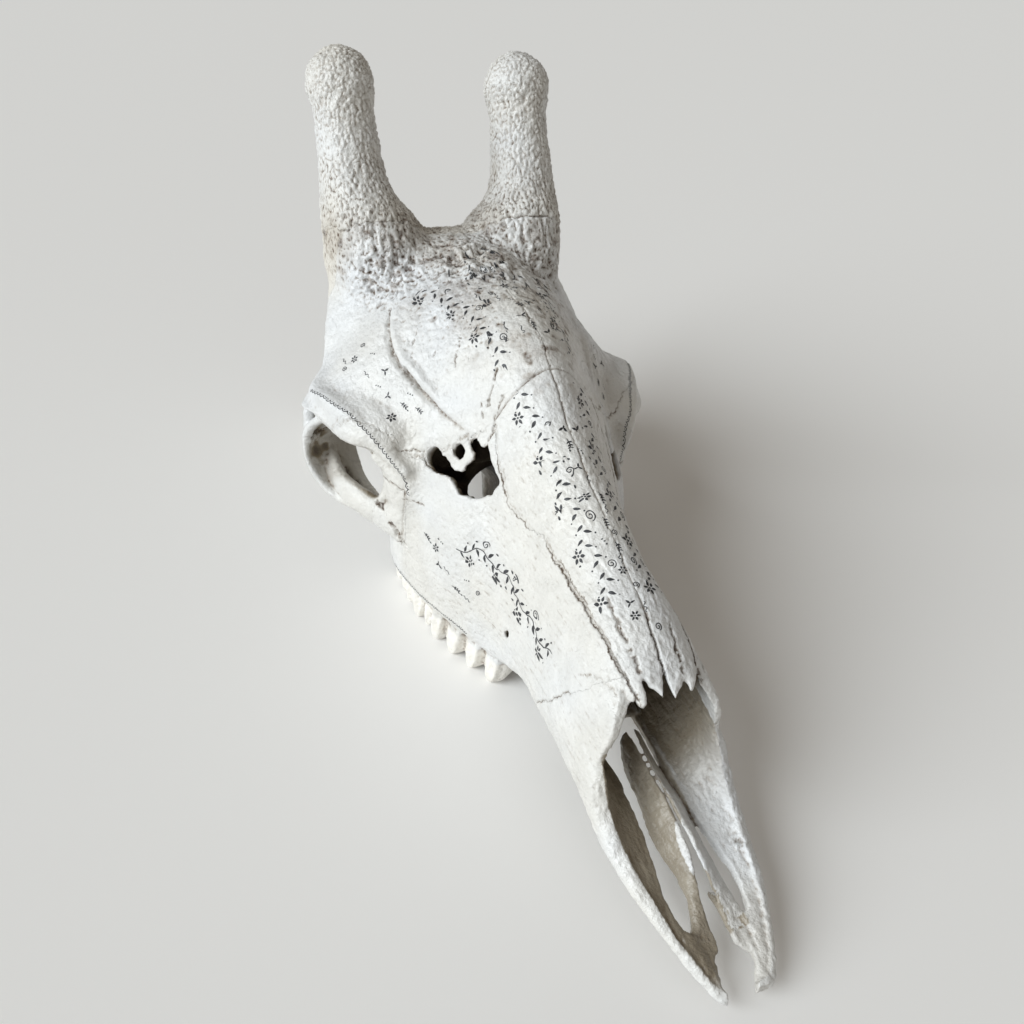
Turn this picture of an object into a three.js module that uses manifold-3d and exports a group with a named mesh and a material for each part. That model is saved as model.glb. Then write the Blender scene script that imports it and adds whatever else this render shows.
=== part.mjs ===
// Giraffe skull without its lower jaw, life size, in millimetres.
// Measures are taken on the skull: y runs back from the tips of the muzzle, z up from the
// biting edge of the cheek teeth, and x to the skull's left. The finished group is moved so
// that its origin is the middle of its footprint, on the level that the skull lies on.
// The skull is modelled whole and then parted into its bones by thin cuts along the sutures.
import * as THREE from 'three';
import { mergeVertices } from 'three/addons/utils/BufferGeometryUtils.js';
import Module from 'manifold-3d';

const wasm = await Module();
wasm.setup();

const at = (x, y, z) => new THREE.Vector3(x, y, z);

// Driving dimensions
const LENGTH = 640; // tips of the muzzle to the back of the condyles
const SUTURE = 0.3; // gap between neighbouring bones
const NASAL_TIP_Y = 122;
const FACE_FRONT_Y = 138; // where the walls of the face rise from the muzzle
const BACK_OF_CRANIUM_Y = 606;
const KNOB = at(71, 573, 319);
const OSSICONE_LEAN = at(0.03, 0.5, 0.86).normalize();
const ORBIT_CENTRE = at(108.5, 401, 105);
const ORBIT_FACING = at(0.8, -0.6, 0).normalize();
const ORBIT_RADIUS = { level: 38, upright: 35 };
const ORBIT_RIM = { thick: 5.5, deep: 8 };
const VACUITY = { at: at(53, 321, 143), long: 29, high: 17 };
const CROWN_HEIGHT = 24;
const RING_SIDES = 20;
const STATION_STEP = 22;

// Cheek teeth, front to back: place of the middle, size along the row and across it
const TEETH = [
  { y: 262, x: 35, long: 17, wide: 15, lobes: 1 },
  { y: 279, x: 43, long: 18, wide: 19, lobes: 1 },
  { y: 297, x: 50, long: 19, wide: 22, lobes: 1 },
  { y: 320, x: 55, long: 26, wide: 25, lobes: 2 },
  { y: 347, x: 58, long: 28, wide: 26, lobes: 2 },
  { y: 375, x: 59, long: 28, wide: 24, lobes: 2 },
];

// Smooth curve through [place, value] pairs.
function profile(pairs) {
  const slope = pairs.map((pair, i) => {
    const before = pairs[Math.max(i - 1, 0)];
    const after = pairs[Math.min(i + 1, pairs.length - 1)];
    return (after[1] - before[1]) / (after[0] - before[0]);
  });
  const last = pairs.length - 1;
  return (place) => {
    if (place <= pairs[0][0]) return pairs[0][1];
    if (place >= pairs[last][0]) return pairs[last][1];
    const i = pairs.findIndex((pair) => pair[0] > place) - 1;
    const span = pairs[i + 1][0] - pairs[i][0];
    const t = (place - pairs[i][0]) / span;
    const rise = pairs[i][1] * (1 + 2 * t) * (1 - t) ** 2 + pairs[i + 1][1] * t * t * (3 - 2 * t);
    return rise + span * (slope[i] * t * (1 - t) ** 2 - slope[i + 1] * t * t * (1 - t));
  };
}

// Lines of the skull, each as a value at a distance y behind the muzzle tips.
// The roof is the upper face of the whole skull, down to its outer edge, the brow.
const roofTop = profile([
  [100, 103], [125, 117], [165, 140], [201, 153], [241, 170], [281, 188], [309, 206], [335, 222],
  [370, 231], [426, 233], [506, 232], [535, 223], [565, 203], [590, 184], [606, 174],
]);
const roofHalfWidth = profile([
  [120, 42], [165, 46], [240, 47], [280, 56], [320, 68], [350, 84], [385, 109], [415, 128],
  [433, 134], [445, 129], [460, 113], [480, 105], [505, 97], [540, 82], [570, 66], [592, 58], [606, 54],
]);
const roofEdge = profile([
  [120, 55], [165, 60], [240, 62], [280, 70], [320, 92], [350, 110], [385, 130], [415, 139],
  [433, 136], [445, 136], [460, 150], [480, 168], [505, 182], [540, 176], [570, 148], [592, 128], [606, 120],
]);
const roofSlope = profile([
  [120, 2.5], [150, 2.4], [180, 1.8], [210, 1.4], [260, 1.4], [300, 1.8], [350, 2.6], [400, 3.3],
  [445, 2.6], [505, 1.2], [606, 1],
]);
const coreHalfWidth = profile([
  [165, 45], [200, 45], [240, 46], [262, 50], [282, 58], [305, 68], [340, 78], [370, 81], [388, 76],
  [402, 64], [430, 55], [460, 50], [500, 54], [540, 60], [575, 66], [606, 62],
]);
const coreTop = profile([
  [165, 85], [240, 120], [300, 150], [340, 165], [380, 190], [430, 210], [500, 214], [540, 204],
  [575, 176], [606, 150],
]);
const coreMiddle = profile([
  [165, 58], [240, 56], [282, 50], [340, 50], [380, 54], [402, 84], [430, 115], [460, 130],
  [540, 130], [575, 112], [606, 98],
]);
const coreBottom = profile([
  [165, 39], [200, 35], [240, 26], [262, 20], [300, 19], [380, 19], [400, 27], [420, 44],
  [460, 54], [540, 57], [606, 58],
]);
const nasalHalfWidth = profile([[120, 20], [150, 25], [205, 27], [245, 30], [275, 37], [300, 38], [335, 34]]);

// Lines of the muzzle and of the open trough between its bars
const muzzleHalfWidth = profile([
  [0, 15], [8, 21], [20, 27], [37, 34], [57, 40], [80, 45], [105, 48], [135, 48], [200, 46],
]);
const muzzleTop = profile([[0, 15], [20, 24], [50, 34], [80, 43], [110, 53], [130, 66], [145, 84], [170, 90]]);
const muzzleFloor = profile([[0, 8], [15, 13], [37, 19], [60, 24], [100, 30], [135, 34], [200, 37]]);
const troughTopHalfWidth = profile([[24, 10], [36, 26], [58, 33], [84, 37], [109, 39], [140, 38], [190, 36]]);
const troughFloorHalfWidth = profile([[24, 6], [36, 19], [63, 24], [85, 25], [110, 24], [190, 24]]);

// A quarter of a rounded outline, from straight up to straight out. A slope above 1 draws the
// sides in, so that they run out flat at the edge, as a brim does.
function quarter(width, height, { power = 2, slope = 1 }, steps) {
  const points = [];
  for (let i = 0; i <= steps; i += 1) {
    const angle = (i / steps) * (Math.PI / 2);
    const out = width * Math.sin(angle) ** (2 / power);
    points.push([out, height * Math.cos(angle) ** ((2 / power) * slope)]);
  }
  return points;
}

// Half an outline on the left, from the top to the bottom, closed with its mirror image at y.
function ringFromHalf(y, half) {
  const other = half.slice(1, -1).reverse().map(([x, z]) => [-x, z]);
  return [...half, ...other].map(([x, z]) => at(x, y, z));
}

function ringAcross(y, shape, steps = RING_SIDES / 4) {
  const upper = quarter(shape.width, shape.top - shape.middle, shape.above, steps);
  const lower = quarter(shape.width, shape.bottom - shape.middle, shape.below, steps);
  const half = [...upper, ...lower.slice(0, steps).reverse()];
  return ringFromHalf(y, half.map(([x, z]) => [x, z + shape.middle]));
}

function stations(from, to, step = STATION_STEP) {
  const count = Math.max(2, Math.round((to - from) / step));
  return Array.from({ length: count + 1 }, (_, i) => from + ((to - from) * i) / count);
}

// A closed skin over rings with the same number of points. It is capped at both ends, or
// joined end to end where it goes round.
function skin(rings, { round = false } = {}) {
  const sides = rings[0].length;
  const points = rings.flat();
  const faces = [];
  const bands = round ? rings.length : rings.length - 1;
  for (let r = 0; r < bands; r += 1) {
    const near = r * sides;
    const far = ((r + 1) % rings.length) * sides;
    for (let s = 0; s < sides; s += 1) {
      const next = (s + 1) % sides;
      faces.push(near + s, near + next, far + s, near + next, far + next, far + s);
    }
  }
  if (!round) {
    const middleOf = (ring) => ring.reduce((sum, p) => sum.add(p), at(0, 0, 0)).divideScalar(sides);
    const middle = points.length;
    const lastRing = (rings.length - 1) * sides;
    points.push(middleOf(rings[0]), middleOf(rings[rings.length - 1]));
    for (let s = 0; s < sides; s += 1) {
      const next = (s + 1) % sides;
      faces.push(middle, next, s, middle + 1, lastRing + s, lastRing + next);
    }
  }
  const geometry = new THREE.BufferGeometry().setFromPoints(points);
  geometry.setIndex(faces);
  return solid(geometry);
}

// A closed three.js geometry as a body that can be cut and joined, its faces turned outward.
function solid(geometry) {
  const plain = geometry.clone();
  plain.deleteAttribute('normal');
  plain.deleteAttribute('uv');
  const merged = mergeVertices(plain, 1e-4);
  const vertProperties = new Float32Array(merged.attributes.position.array);
  const triVerts = new Uint32Array(merged.index.array);
  const body = new wasm.Manifold(new wasm.Mesh({ numProp: 3, vertProperties, triVerts }));
  if (body.volume() >= 0) return body;
  for (let i = 0; i < triVerts.length; i += 3) {
    [triVerts[i], triVerts[i + 1]] = [triVerts[i + 1], triVerts[i]];
  }
  return new wasm.Manifold(new wasm.Mesh({ numProp: 3, vertProperties, triVerts }));
}

const mirrored = (body) => body.mirror([1, 0, 0]);
const both = (body) => body.add(mirrored(body));
const fuse = (bodies) => bodies.reduce((whole, body) => whole.add(body));

// A tapering limb of elliptical section along a smooth path. Each stop is a place, the half
// thickness across the path and the half thickness towards the given up direction.
function limb(stops, { up = at(0, 0, 1), sides = 10, rows = 2 } = {}) {
  const path = new THREE.CatmullRomCurve3(stops.map(([place]) => place));
  const across = profile(stops.map(([, size], i) => [i, size]));
  const along = profile(stops.map(([, , size], i) => [i, size]));
  const count = (stops.length - 1) * rows;
  const rings = [];
  for (let i = 0; i <= count; i += 1) {
    const centre = path.getPoint(i / count);
    const forward = path.getTangent(i / count);
    const side = new THREE.Vector3().crossVectors(forward, up).normalize();
    const rise = new THREE.Vector3().crossVectors(side, forward).normalize();
    rings.push(Array.from({ length: sides }, (_, s) => {
      const angle = (s / sides) * 2 * Math.PI;
      return centre.clone()
        .addScaledVector(side, across(i / rows) * Math.cos(angle))
        .addScaledVector(rise, along(i / rows) * Math.sin(angle));
    }));
  }
  return skin(rings);
}

function ellipsoid(centre, radii, turn = [0, 0, 0]) {
  const matrix = new THREE.Matrix4().compose(
    centre,
    new THREE.Quaternion().setFromEuler(new THREE.Euler(...turn)),
    at(...radii),
  );
  return solid(new THREE.SphereGeometry(1, 14, 9).applyMatrix4(matrix));
}

function block(low, high) {
  const size = high.map((value, i) => value - low[i]);
  const middle = high.map((value, i) => (value + low[i]) / 2);
  return solid(new THREE.BoxGeometry(...size).translate(...middle));
}

// A slab with a plan outline of [x, y] points between two heights.
function slab(outline, low, high) {
  const shape = new THREE.Shape(outline.map(([x, y]) => new THREE.Vector2(x, y)));
  const geometry = new THREE.ExtrudeGeometry(shape, { depth: high - low, bevelEnabled: false });
  return solid(geometry.translate(0, 0, low));
}

// A slab with a side outline of [y, z] points between two distances from the middle.
function sideSlab(outline, near, far) {
  const shape = new THREE.Shape(outline.map(([y, z]) => new THREE.Vector2(y, z)));
  const geometry = new THREE.ExtrudeGeometry(shape, { depth: far - near, bevelEnabled: false });
  const turn = new THREE.Matrix4().makeBasis(at(0, 1, 0), at(0, 0, 1), at(1, 0, 0));
  return solid(geometry.applyMatrix4(turn).translate(near, 0, 0));
}

// Roof of the skull: nasals, forehead with the brows over the orbits, and top of the cranium.
// Shrunk by a wall thickness, the same lines give the hollow under them.
const roofRing = (y, inset = 0, bottom = roofEdge(y) - 8) => ringAcross(y, {
  width: roofHalfWidth(y) - inset,
  top: roofTop(y) - inset,
  middle: roofEdge(y),
  bottom,
  above: { slope: roofSlope(y) },
  below: { power: 2.4 },
});

const roof = () => skin(stations(FACE_FRONT_Y, BACK_OF_CRANIUM_Y).map((y) => roofRing(y)));

// Sides of the face, the toothed upper jaws and the braincase under the roof
function core() {
  return skin(stations(172, BACK_OF_CRANIUM_Y).map((y) => ringAcross(y, {
    width: coreHalfWidth(y),
    top: coreTop(y),
    middle: coreMiddle(y),
    bottom: coreBottom(y),
    above: { power: y > 270 && y < 400 ? 2.8 : 2 },
    below: { power: y > 250 && y < 392 ? 4 : 2.3 },
  })));
}

// Nasal passage behind the opening at the muzzle, as far back as the hole before each orbit shows it
function nasalPassage() {
  const wall = profile([[116, 5], [200, 7], [300, 9], [330, 14], [348, 28]]);
  const floor = profile([[116, 37], [200, 44], [260, 46], [300, 52], [330, 74], [348, 96]]);
  return skin(stations(116, 348, 19).map((y) => roofRing(y, wall(y), floor(y))));
}

// Notch between the nasal bones and the muzzle, seen from the side
function nasalNotch() {
  const outline = [[90, 38], [112, 54], [128, 64], [142, 84], [150, 96], [153, 103], [146, 103], [90, 92]];
  return sideSlab(outline, -80, 80);
}

// Nasal bones where they stand out over the nasal opening, each with two prongs
function nasalTips() {
  const thickness = 5;
  const rings = stations(NASAL_TIP_Y - 6, 186, 12).map((y) => {
    const arch = (inset) => quarter(
      roofHalfWidth(y) - inset,
      roofTop(y) - roofEdge(y) - inset,
      { slope: roofSlope(y) },
      RING_SIDES / 4,
    ).slice(0, -1).map(([x, z]) => [x, z + roofEdge(y)]);
    return ringFromHalf(y, [...arch(0), ...arch(thickness).reverse()]);
  });
  const prongs = slab([
    [1.2, 196], [1.6, 160], [2.8, 136], [5.5, 123], [8, 128], [11, 144], [13.5, 144], [17, 126], [20, 130],
    [24, 146], [30, 158], [40, 168], [44, 196],
  ], 60, 180);
  return skin(rings).intersect(both(prongs));
}

// Muzzle: bars of the premaxillae round an open trough, with a slit each side of the middle
function muzzleShell() {
  return skin(stations(0, 200, 13).map((y) => {
    const height = muzzleTop(y) - muzzleFloor(y);
    return ringAcross(y, {
      width: muzzleHalfWidth(y),
      top: muzzleTop(y),
      middle: muzzleFloor(y) + height * 0.45,
      bottom: muzzleFloor(y),
      above: { power: 3 },
      below: { power: 3 },
    }, 6);
  }));
}

function trough() {
  const floorThickness = 6;
  const clearance = 60;
  return skin(stations(27, 200, 14).map((y) => {
    const low = muzzleFloor(y) + floorThickness;
    const high = muzzleTop(y);
    const wide = troughTopHalfWidth(y);
    const narrow = troughFloorHalfWidth(y);
    return ringFromHalf(y, [
      [0, high + clearance], [wide, high + clearance], [wide, high - 3],
      [(wide * 2 + narrow) / 3, low + (high - low) * 0.45], [narrow, low + 3], [narrow * 0.6, low], [0, low],
    ]);
  }));
}

function palatineSlit() {
  return slab([
    [18, 34], [22, 42], [24, 62], [24, 84], [23, 110], [21, 140], [18, 168], [0, 176],
    [0, 163], [4, 161], [8, 140], [12, 118], [15, 95], [16, 68], [15, 50],
  ], 0, 80);
}

function frontNotch() {
  return both(slab([[0, 29], [0, -6], [8, -6], [11, 9], [9, 19], [4, 26]], -5, 60));
}

function muzzle() {
  return muzzleShell().subtract(trough()).subtract(both(palatineSlit())).subtract(frontNotch());
}

// Orbit: a bony ring that faces outward and forward, joined above to the brow
function orbitRing() {
  const back = new THREE.Vector3().crossVectors(at(0, 0, 1), ORBIT_FACING).normalize();
  const rows = 20;
  const sides = 6;
  const rings = Array.from({ length: rows }, (_, r) => {
    const turn = (r / rows) * 2 * Math.PI;
    const outward = back.clone().multiplyScalar(Math.cos(turn)).add(at(0, 0, Math.sin(turn)));
    const centre = ORBIT_CENTRE.clone()
      .addScaledVector(back, ORBIT_RADIUS.level * Math.cos(turn))
      .add(at(0, 0, ORBIT_RADIUS.upright * Math.sin(turn)));
    return Array.from({ length: sides }, (__, s) => {
      const angle = (s / sides) * 2 * Math.PI;
      return centre.clone()
        .addScaledVector(outward, ORBIT_RIM.thick * Math.cos(angle))
        .addScaledVector(ORBIT_FACING, ORBIT_RIM.deep * Math.sin(angle));
    });
  });
  return skin(rings, { round: true });
}

function orbitSocket() {
  const inward = (distance) => ORBIT_CENTRE.clone().addScaledVector(ORBIT_FACING, -distance);
  return limb([
    [inward(-30), 33.5, 30.5],
    [inward(0), 33, 30],
    [inward(24), 34, 30],
    [inward(46), 24, 22],
  ], { sides: 16 });
}

// Cheek bone under the orbit, and the arch that runs back from it to the side of the cranium
function cheek() {
  return limb([
    [at(66, 330, 66), 6, 10],
    [at(80, 356, 72), 9, 14],
    [at(97, 384, 72), 8, 11],
    [at(113, 410, 76), 6, 11],
    [at(118, 440, 82), 5, 10],
    [at(112, 475, 90), 5, 9],
    [at(98, 508, 96), 7, 9],
    [at(76, 532, 100), 12, 9],
    [at(50, 545, 106), 14, 12],
  ], { sides: 8 });
}

// Ossicone: flared foot, leaning shaft and round knob
function ossicone() {
  const down = (distance, inward = 0) => KNOB.clone()
    .addScaledVector(OSSICONE_LEAN, -distance)
    .add(at(-inward, 0, 0));
  return limb([
    [down(-26), 3, 3],
    [down(-21), 15, 15],
    [down(-12), 23, 23],
    [down(2), 26, 26],
    [down(22), 22.5, 23],
    [down(50), 23.5, 24],
    [down(68, 0.5), 26, 27],
    [down(84, 2), 30, 32],
    [at(65, 524, 236), 36, 38],
    [at(58, 518, 223), 43, 45],
    [at(51, 513, 208), 49, 53],
    [at(45, 509, 188), 51, 60],
  ], { up: at(0, 1, 0), sides: 18, rows: 1 });
}

// A tooth: one or two rounded lobes side by side, worn flat at the biting edge
function tooth({ y, x, long, wide, lobes }) {
  const reach = long / lobes;
  const levels = [[0, 0.5, 2], [4, 0.84, 1], [12, 1, 0], [CROWN_HEIGHT + 12, 0.74, -2]];
  const sides = 8;
  const squareness = 2.8;
  const rounded = (value) => Math.sign(value) * Math.abs(value) ** (2 / squareness);
  return fuse(Array.from({ length: lobes }, (_, lobe) => {
    const place = y + (lobe - (lobes - 1) / 2) * reach;
    return skin(levels.map(([z, scale, outward]) => Array.from({ length: sides }, (__, s) => {
      const angle = ((s + 0.5) / sides) * 2 * Math.PI;
      return at(
        x + outward + rounded(Math.cos(angle)) * scale * wide * 0.5,
        place + rounded(Math.sin(angle)) * scale * reach * 0.56,
        z,
      );
    })));
  }));
}

function palateHollow() {
  const half = profile([[190, 14], [240, 20], [262, 22], [300, 32], [340, 38], [385, 38], [410, 26]]);
  const top = profile([[190, 40], [240, 36], [300, 38], [390, 40], [410, 46]]);
  return skin(stations(188, 408, 24).map((y) => ringAcross(y, {
    width: half(y), top: top(y), middle: 14, bottom: -10, above: { power: 2.4 }, below: { power: 4 },
  }, 5)));
}

// Back of the skull: crest, condyles beside the opening for the spinal cord, and the long
// processes beside them that reach down to the level of the teeth
function crest() {
  return limb([
    [at(62, 566, 104), 7, 9],
    [at(58, 594, 134), 7, 9],
    [at(38, 605, 160), 8, 9],
    [at(0, 608, 172), 9, 11],
    [at(-38, 605, 160), 8, 9],
    [at(-58, 594, 134), 7, 9],
    [at(-62, 566, 104), 7, 9],
  ], { up: at(0, 1, 0.4), sides: 8 });
}

function condyles() {
  return both(ellipsoid(at(22, 614, 82), [15, 26, 21], [0.35, 0.25, 0]));
}

function cordOpening() {
  return limb([
    [at(0, 590, 96), 8, 8],
    [at(0, 606, 94), 15, 14],
    [at(0, 650, 90), 19, 18],
  ], { sides: 12 });
}

function sideProcess() {
  return limb([
    [at(52, 590, 96), 10, 16],
    [at(54, 596, 66), 8, 15],
    [at(53, 597, 40), 6, 12],
    [at(51, 596, 18), 5, 9],
    [at(50, 595, -3), 4, 6],
  ], { up: at(0, 1, 0), sides: 10 });
}

const bulla = () => ellipsoid(at(36, 560, 56), [13, 19, 18], [0, 0, -0.3]);

// Thin wing of bone on each side of the way from the nose to the throat
function wing() {
  return limb([
    [at(30, 440, 78), 6, 26],
    [at(26, 432, 54), 4.5, 21],
    [at(23, 426, 36), 4, 14],
    [at(22, 423, 22), 3, 7],
  ], { up: at(0, 1, 0), sides: 8 });
}

// Hole in the side of the face before each orbit, ragged where thin bone has broken away
function vacuity() {
  const depth = 44;
  const spokes = 14;
  const outline = Array.from({ length: spokes }, (_, i) => {
    const angle = (i / spokes) * 2 * Math.PI;
    const ragged = 1 + 0.14 * Math.sin(3 * angle + 0.6) + 0.1 * Math.sin(5 * angle);
    return new THREE.Vector2(
      VACUITY.long * ragged * Math.cos(angle),
      VACUITY.high * ragged * Math.sin(angle),
    );
  });
  const geometry = new THREE.ExtrudeGeometry(new THREE.Shape(outline), { depth, bevelEnabled: false });
  const backward = at(0.42, 0.88, -0.19).normalize();
  const upward = at(-0.3, 0.3, 0.9).projectOnPlane(backward).normalize();
  const outward = new THREE.Vector3().crossVectors(backward, upward).normalize();
  const turn = new THREE.Matrix4().makeBasis(backward, upward, outward).setPosition(VACUITY.at);
  return solid(geometry.translate(0, 0, -depth / 2).applyMatrix4(turn));
}

// Groove from the foot of the ossicone through a pit above the orbit and on towards the face
function browGroove() {
  return limb([
    [at(68, 450, 202), 1.5, 3],
    [at(75, 421, 191), 3, 4],
    [at(73, 396, 179), 6, 8],
    [at(67, 379, 175), 4, 5],
    [at(56, 354, 170), 3, 3.5],
    [at(47, 334, 169), 1.5, 2],
  ], { sides: 8 });
}

function wholeSkull() {
  const face = fuse([roof(), core(), nasalTips()])
    .subtract(both(orbitSocket()))
    .subtract(palateHollow())
    .subtract(nasalPassage())
    .subtract(nasalNotch());
  const added = fuse([
    muzzle(), both(orbitRing()), both(cheek()), both(ossicone()), both(fuse(TEETH.map(tooth))),
    crest(), condyles(), both(sideProcess()), both(bulla()), both(wing()),
  ]);
  return face
    .add(added)
    .subtract(cordOpening())
    .subtract(both(vacuity()))
    .subtract(both(browGroove()))
    .subtract(block([-200, -50, -50], [200, 700, 0]));
}

// All of space in front of a plane, as far as the skull reaches.
function spaceBeyond(point, facing) {
  const reach = 2 * LENGTH;
  const turn = new THREE.Quaternion().setFromUnitVectors(at(0, 0, 1), facing.clone().normalize());
  const box = new THREE.BoxGeometry(reach, reach, reach).translate(0, 0, reach / 2);
  return solid(box.applyQuaternion(turn).translate(point.x, point.y, point.z));
}

// Space bounded by planes, each a point and the way it faces inward; grown by a distance.
function cell(planes, grown) {
  return planes
    .map(([point, facing]) => {
      const inward = facing.clone().normalize();
      return spaceBeyond(point.clone().addScaledVector(inward, -grown), inward);
    })
    .reduce((space, next) => space.intersect(next));
}

const MIDLINE = [at(0, 0, 0), at(1, 0, 0)];
const BROW_LEVEL = 112; // height at which the orbital ring changes from cheek bone to forehead

// Nasal bone: the strip of the roof beside the midline, from the prongs back to the forehead
function nasalCell(grown) {
  const low = profile([[100, 88], [205, 96], [280, 130], [322, 180]]);
  const top = 300;
  const rings = stations(100, 322 + grown, 20).map((y) => {
    const wide = nasalHalfWidth(y) + grown;
    const near = -grown;
    return [at(near, y, top), at(wide, y, top), at(wide, y, low(y) - grown), at(near, y, low(y) - grown)];
  });
  return skin(rings);
}

// Cells of the bones, in the order in which they are taken from the whole
const CELLS = [
  ['nasal', nasalCell],
  ['ossicone', (grown) => cell([
    MIDLINE,
    [KNOB.clone().addScaledVector(OSSICONE_LEAN, -104), OSSICONE_LEAN],
  ], grown)],
  ['premaxilla', (grown) => cell([MIDLINE, [at(0, 152, 105), at(0, -0.806, -0.591)]], grown)],
  ['jugal', (grown) => cell([
    [at(83, 0, 0), at(1, 0, 0)],
    [at(0, 0, BROW_LEVEL), at(0, 0, -1)],
    [at(90, 515, 0), at(0.4, -0.92, 0)],
  ], grown)],
  ['frontal', (grown) => cell([
    MIDLINE,
    [at(0, 0, BROW_LEVEL), at(0, 0, 1)],
    [at(34, 318, 0), at(-0.68, 0.73, 0)],
    [at(0, 500, 0), at(0, -1, 0)],
  ], grown)],
  ['maxilla', (grown) => cell([MIDLINE, [at(0, 402, 0), at(0, -1, 0)]], grown)],
];

const largest = (body) => body.decompose().sort((a, b) => b.volume() - a.volume())[0];

// Parts the whole skull into bones, as [name, body] pairs.
function bones() {
  const parts = [];
  let rest = wholeSkull();
  CELLS.forEach(([name, space]) => {
    const left = largest(rest.intersect(space(-SUTURE / 2)));
    parts.push([`${name}_left`, left], [`${name}_right`, mirrored(left)]);
    rest = rest.subtract(both(space(SUTURE / 2)));
  });
  const occiputFront = [at(0, 574, 0), at(0, 1, 0)];
  parts.push(['occiput', largest(rest.intersect(cell([occiputFront], -SUTURE / 2)))]);
  parts.push(['cranium', largest(rest.subtract(cell([occiputFront], SUTURE / 2)))]);
  return parts;
}

const bone = new THREE.MeshStandardMaterial({ color: 0xe9e6df, roughness: 0.55, metalness: 0 });

function meshOf(name, body) {
  const { vertProperties, triVerts } = body.getMesh();
  const geometry = new THREE.BufferGeometry();
  geometry.setAttribute('position', new THREE.BufferAttribute(new Float32Array(vertProperties), 3));
  geometry.setIndex(new THREE.BufferAttribute(new Uint32Array(triVerts), 1));
  const mesh = new THREE.Mesh(geometry, bone);
  mesh.name = name;
  return mesh;
}

const group = new THREE.Group();
bones().forEach(([name, body]) => group.add(meshOf(name, body)));
const footprint = new THREE.Box3().setFromObject(group).getCenter(at(0, 0, 0));
group.position.set(-footprint.x, -footprint.y, 0);

export default group;
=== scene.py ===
"""Giraffe skull with a painted finish: the visible bones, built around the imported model.

Sizes are millimetres measured on the skull: y runs back from the tips of the muzzle, z up from
the biting edge of the cheek teeth, x to the skull's left. place() turns them into the frame.
"""
import math

import bmesh
import bpy
import numpy as np
from mathutils import Euler, Matrix, Vector
from mathutils.bvhtree import BVHTree
from mathutils.kdtree import KDTree


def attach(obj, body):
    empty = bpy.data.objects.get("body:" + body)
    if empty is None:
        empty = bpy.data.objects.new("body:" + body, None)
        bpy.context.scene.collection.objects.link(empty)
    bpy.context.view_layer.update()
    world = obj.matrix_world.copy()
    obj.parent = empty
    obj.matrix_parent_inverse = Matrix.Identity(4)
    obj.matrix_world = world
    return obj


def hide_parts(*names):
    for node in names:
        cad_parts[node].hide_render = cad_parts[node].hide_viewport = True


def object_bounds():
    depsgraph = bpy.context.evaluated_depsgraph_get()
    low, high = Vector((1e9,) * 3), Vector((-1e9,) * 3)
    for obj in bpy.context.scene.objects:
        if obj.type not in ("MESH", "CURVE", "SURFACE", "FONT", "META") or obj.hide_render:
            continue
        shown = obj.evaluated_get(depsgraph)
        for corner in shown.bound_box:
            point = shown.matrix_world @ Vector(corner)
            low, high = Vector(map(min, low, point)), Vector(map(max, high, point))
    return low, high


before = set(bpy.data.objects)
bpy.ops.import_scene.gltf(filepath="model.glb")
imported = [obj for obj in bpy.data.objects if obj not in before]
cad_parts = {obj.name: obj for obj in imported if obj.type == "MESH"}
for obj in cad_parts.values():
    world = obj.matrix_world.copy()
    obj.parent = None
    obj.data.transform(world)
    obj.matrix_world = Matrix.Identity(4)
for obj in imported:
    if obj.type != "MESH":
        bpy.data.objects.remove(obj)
cad_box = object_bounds()

MM = 0.001
MUZZLE_TIP_Y = cad_box[0][1]
VOXEL = 0.98  # spacing of the vertices
SUTURE = 0.06  # width of the gap between two bones

FACE_FRONT_Y = 122
NASAL_TIP_Y = 122
BACK_OF_CRANIUM_Y = 606
KNOB = np.array([71.0, 573.0, 319.0])  # middle of the ossicone's round end
OSSICONE_LEAN = np.array([0.03, 0.5, 0.86]) / np.linalg.norm([0.03, 0.5, 0.86])
ORBIT_CENTRE = np.array([108.5, 401.0, 105.0])
ORBIT_FACING = np.array([0.8, -0.6, 0.0])
ORBIT_LEVEL_RADIUS = 37.2
ORBIT_UPRIGHT_RADIUS = 35
CROWN_HEIGHT = 24
UP = np.array([0.0, 0.0, 1.0])

# Cheek teeth, front to back: y, x, size along the row, size across it, lobes
TEETH = [
    (263, 36, 19, 20, 1), (280, 44, 18, 20, 1), (297, 51, 19, 22, 1),
    (320, 56, 27, 25, 2), (347, 60, 28, 26, 2), (375, 60, 28, 24, 2),
]


def profile(*pairs):
    """Smooth curve through (place, value) pairs, for one place or an array of them."""
    places, values = np.array(pairs, float).T
    last = len(places) - 1
    before = np.maximum(np.arange(last + 1) - 1, 0)
    after = np.minimum(np.arange(last + 1) + 1, last)
    slope = (values[after] - values[before]) / (places[after] - places[before])

    def value(place):
        place = np.clip(place, places[0], places[last])
        i = np.clip(np.searchsorted(places, place, side="right") - 1, 0, last - 1)
        span = places[i + 1] - places[i]
        t = (place - places[i]) / span
        rise = values[i] * (1 + 2 * t) * (1 - t) ** 2 + values[i + 1] * t * t * (3 - 2 * t)
        return rise + span * (slope[i] * t * (1 - t) ** 2 - slope[i + 1] * t * t * (1 - t))

    return value


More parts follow.
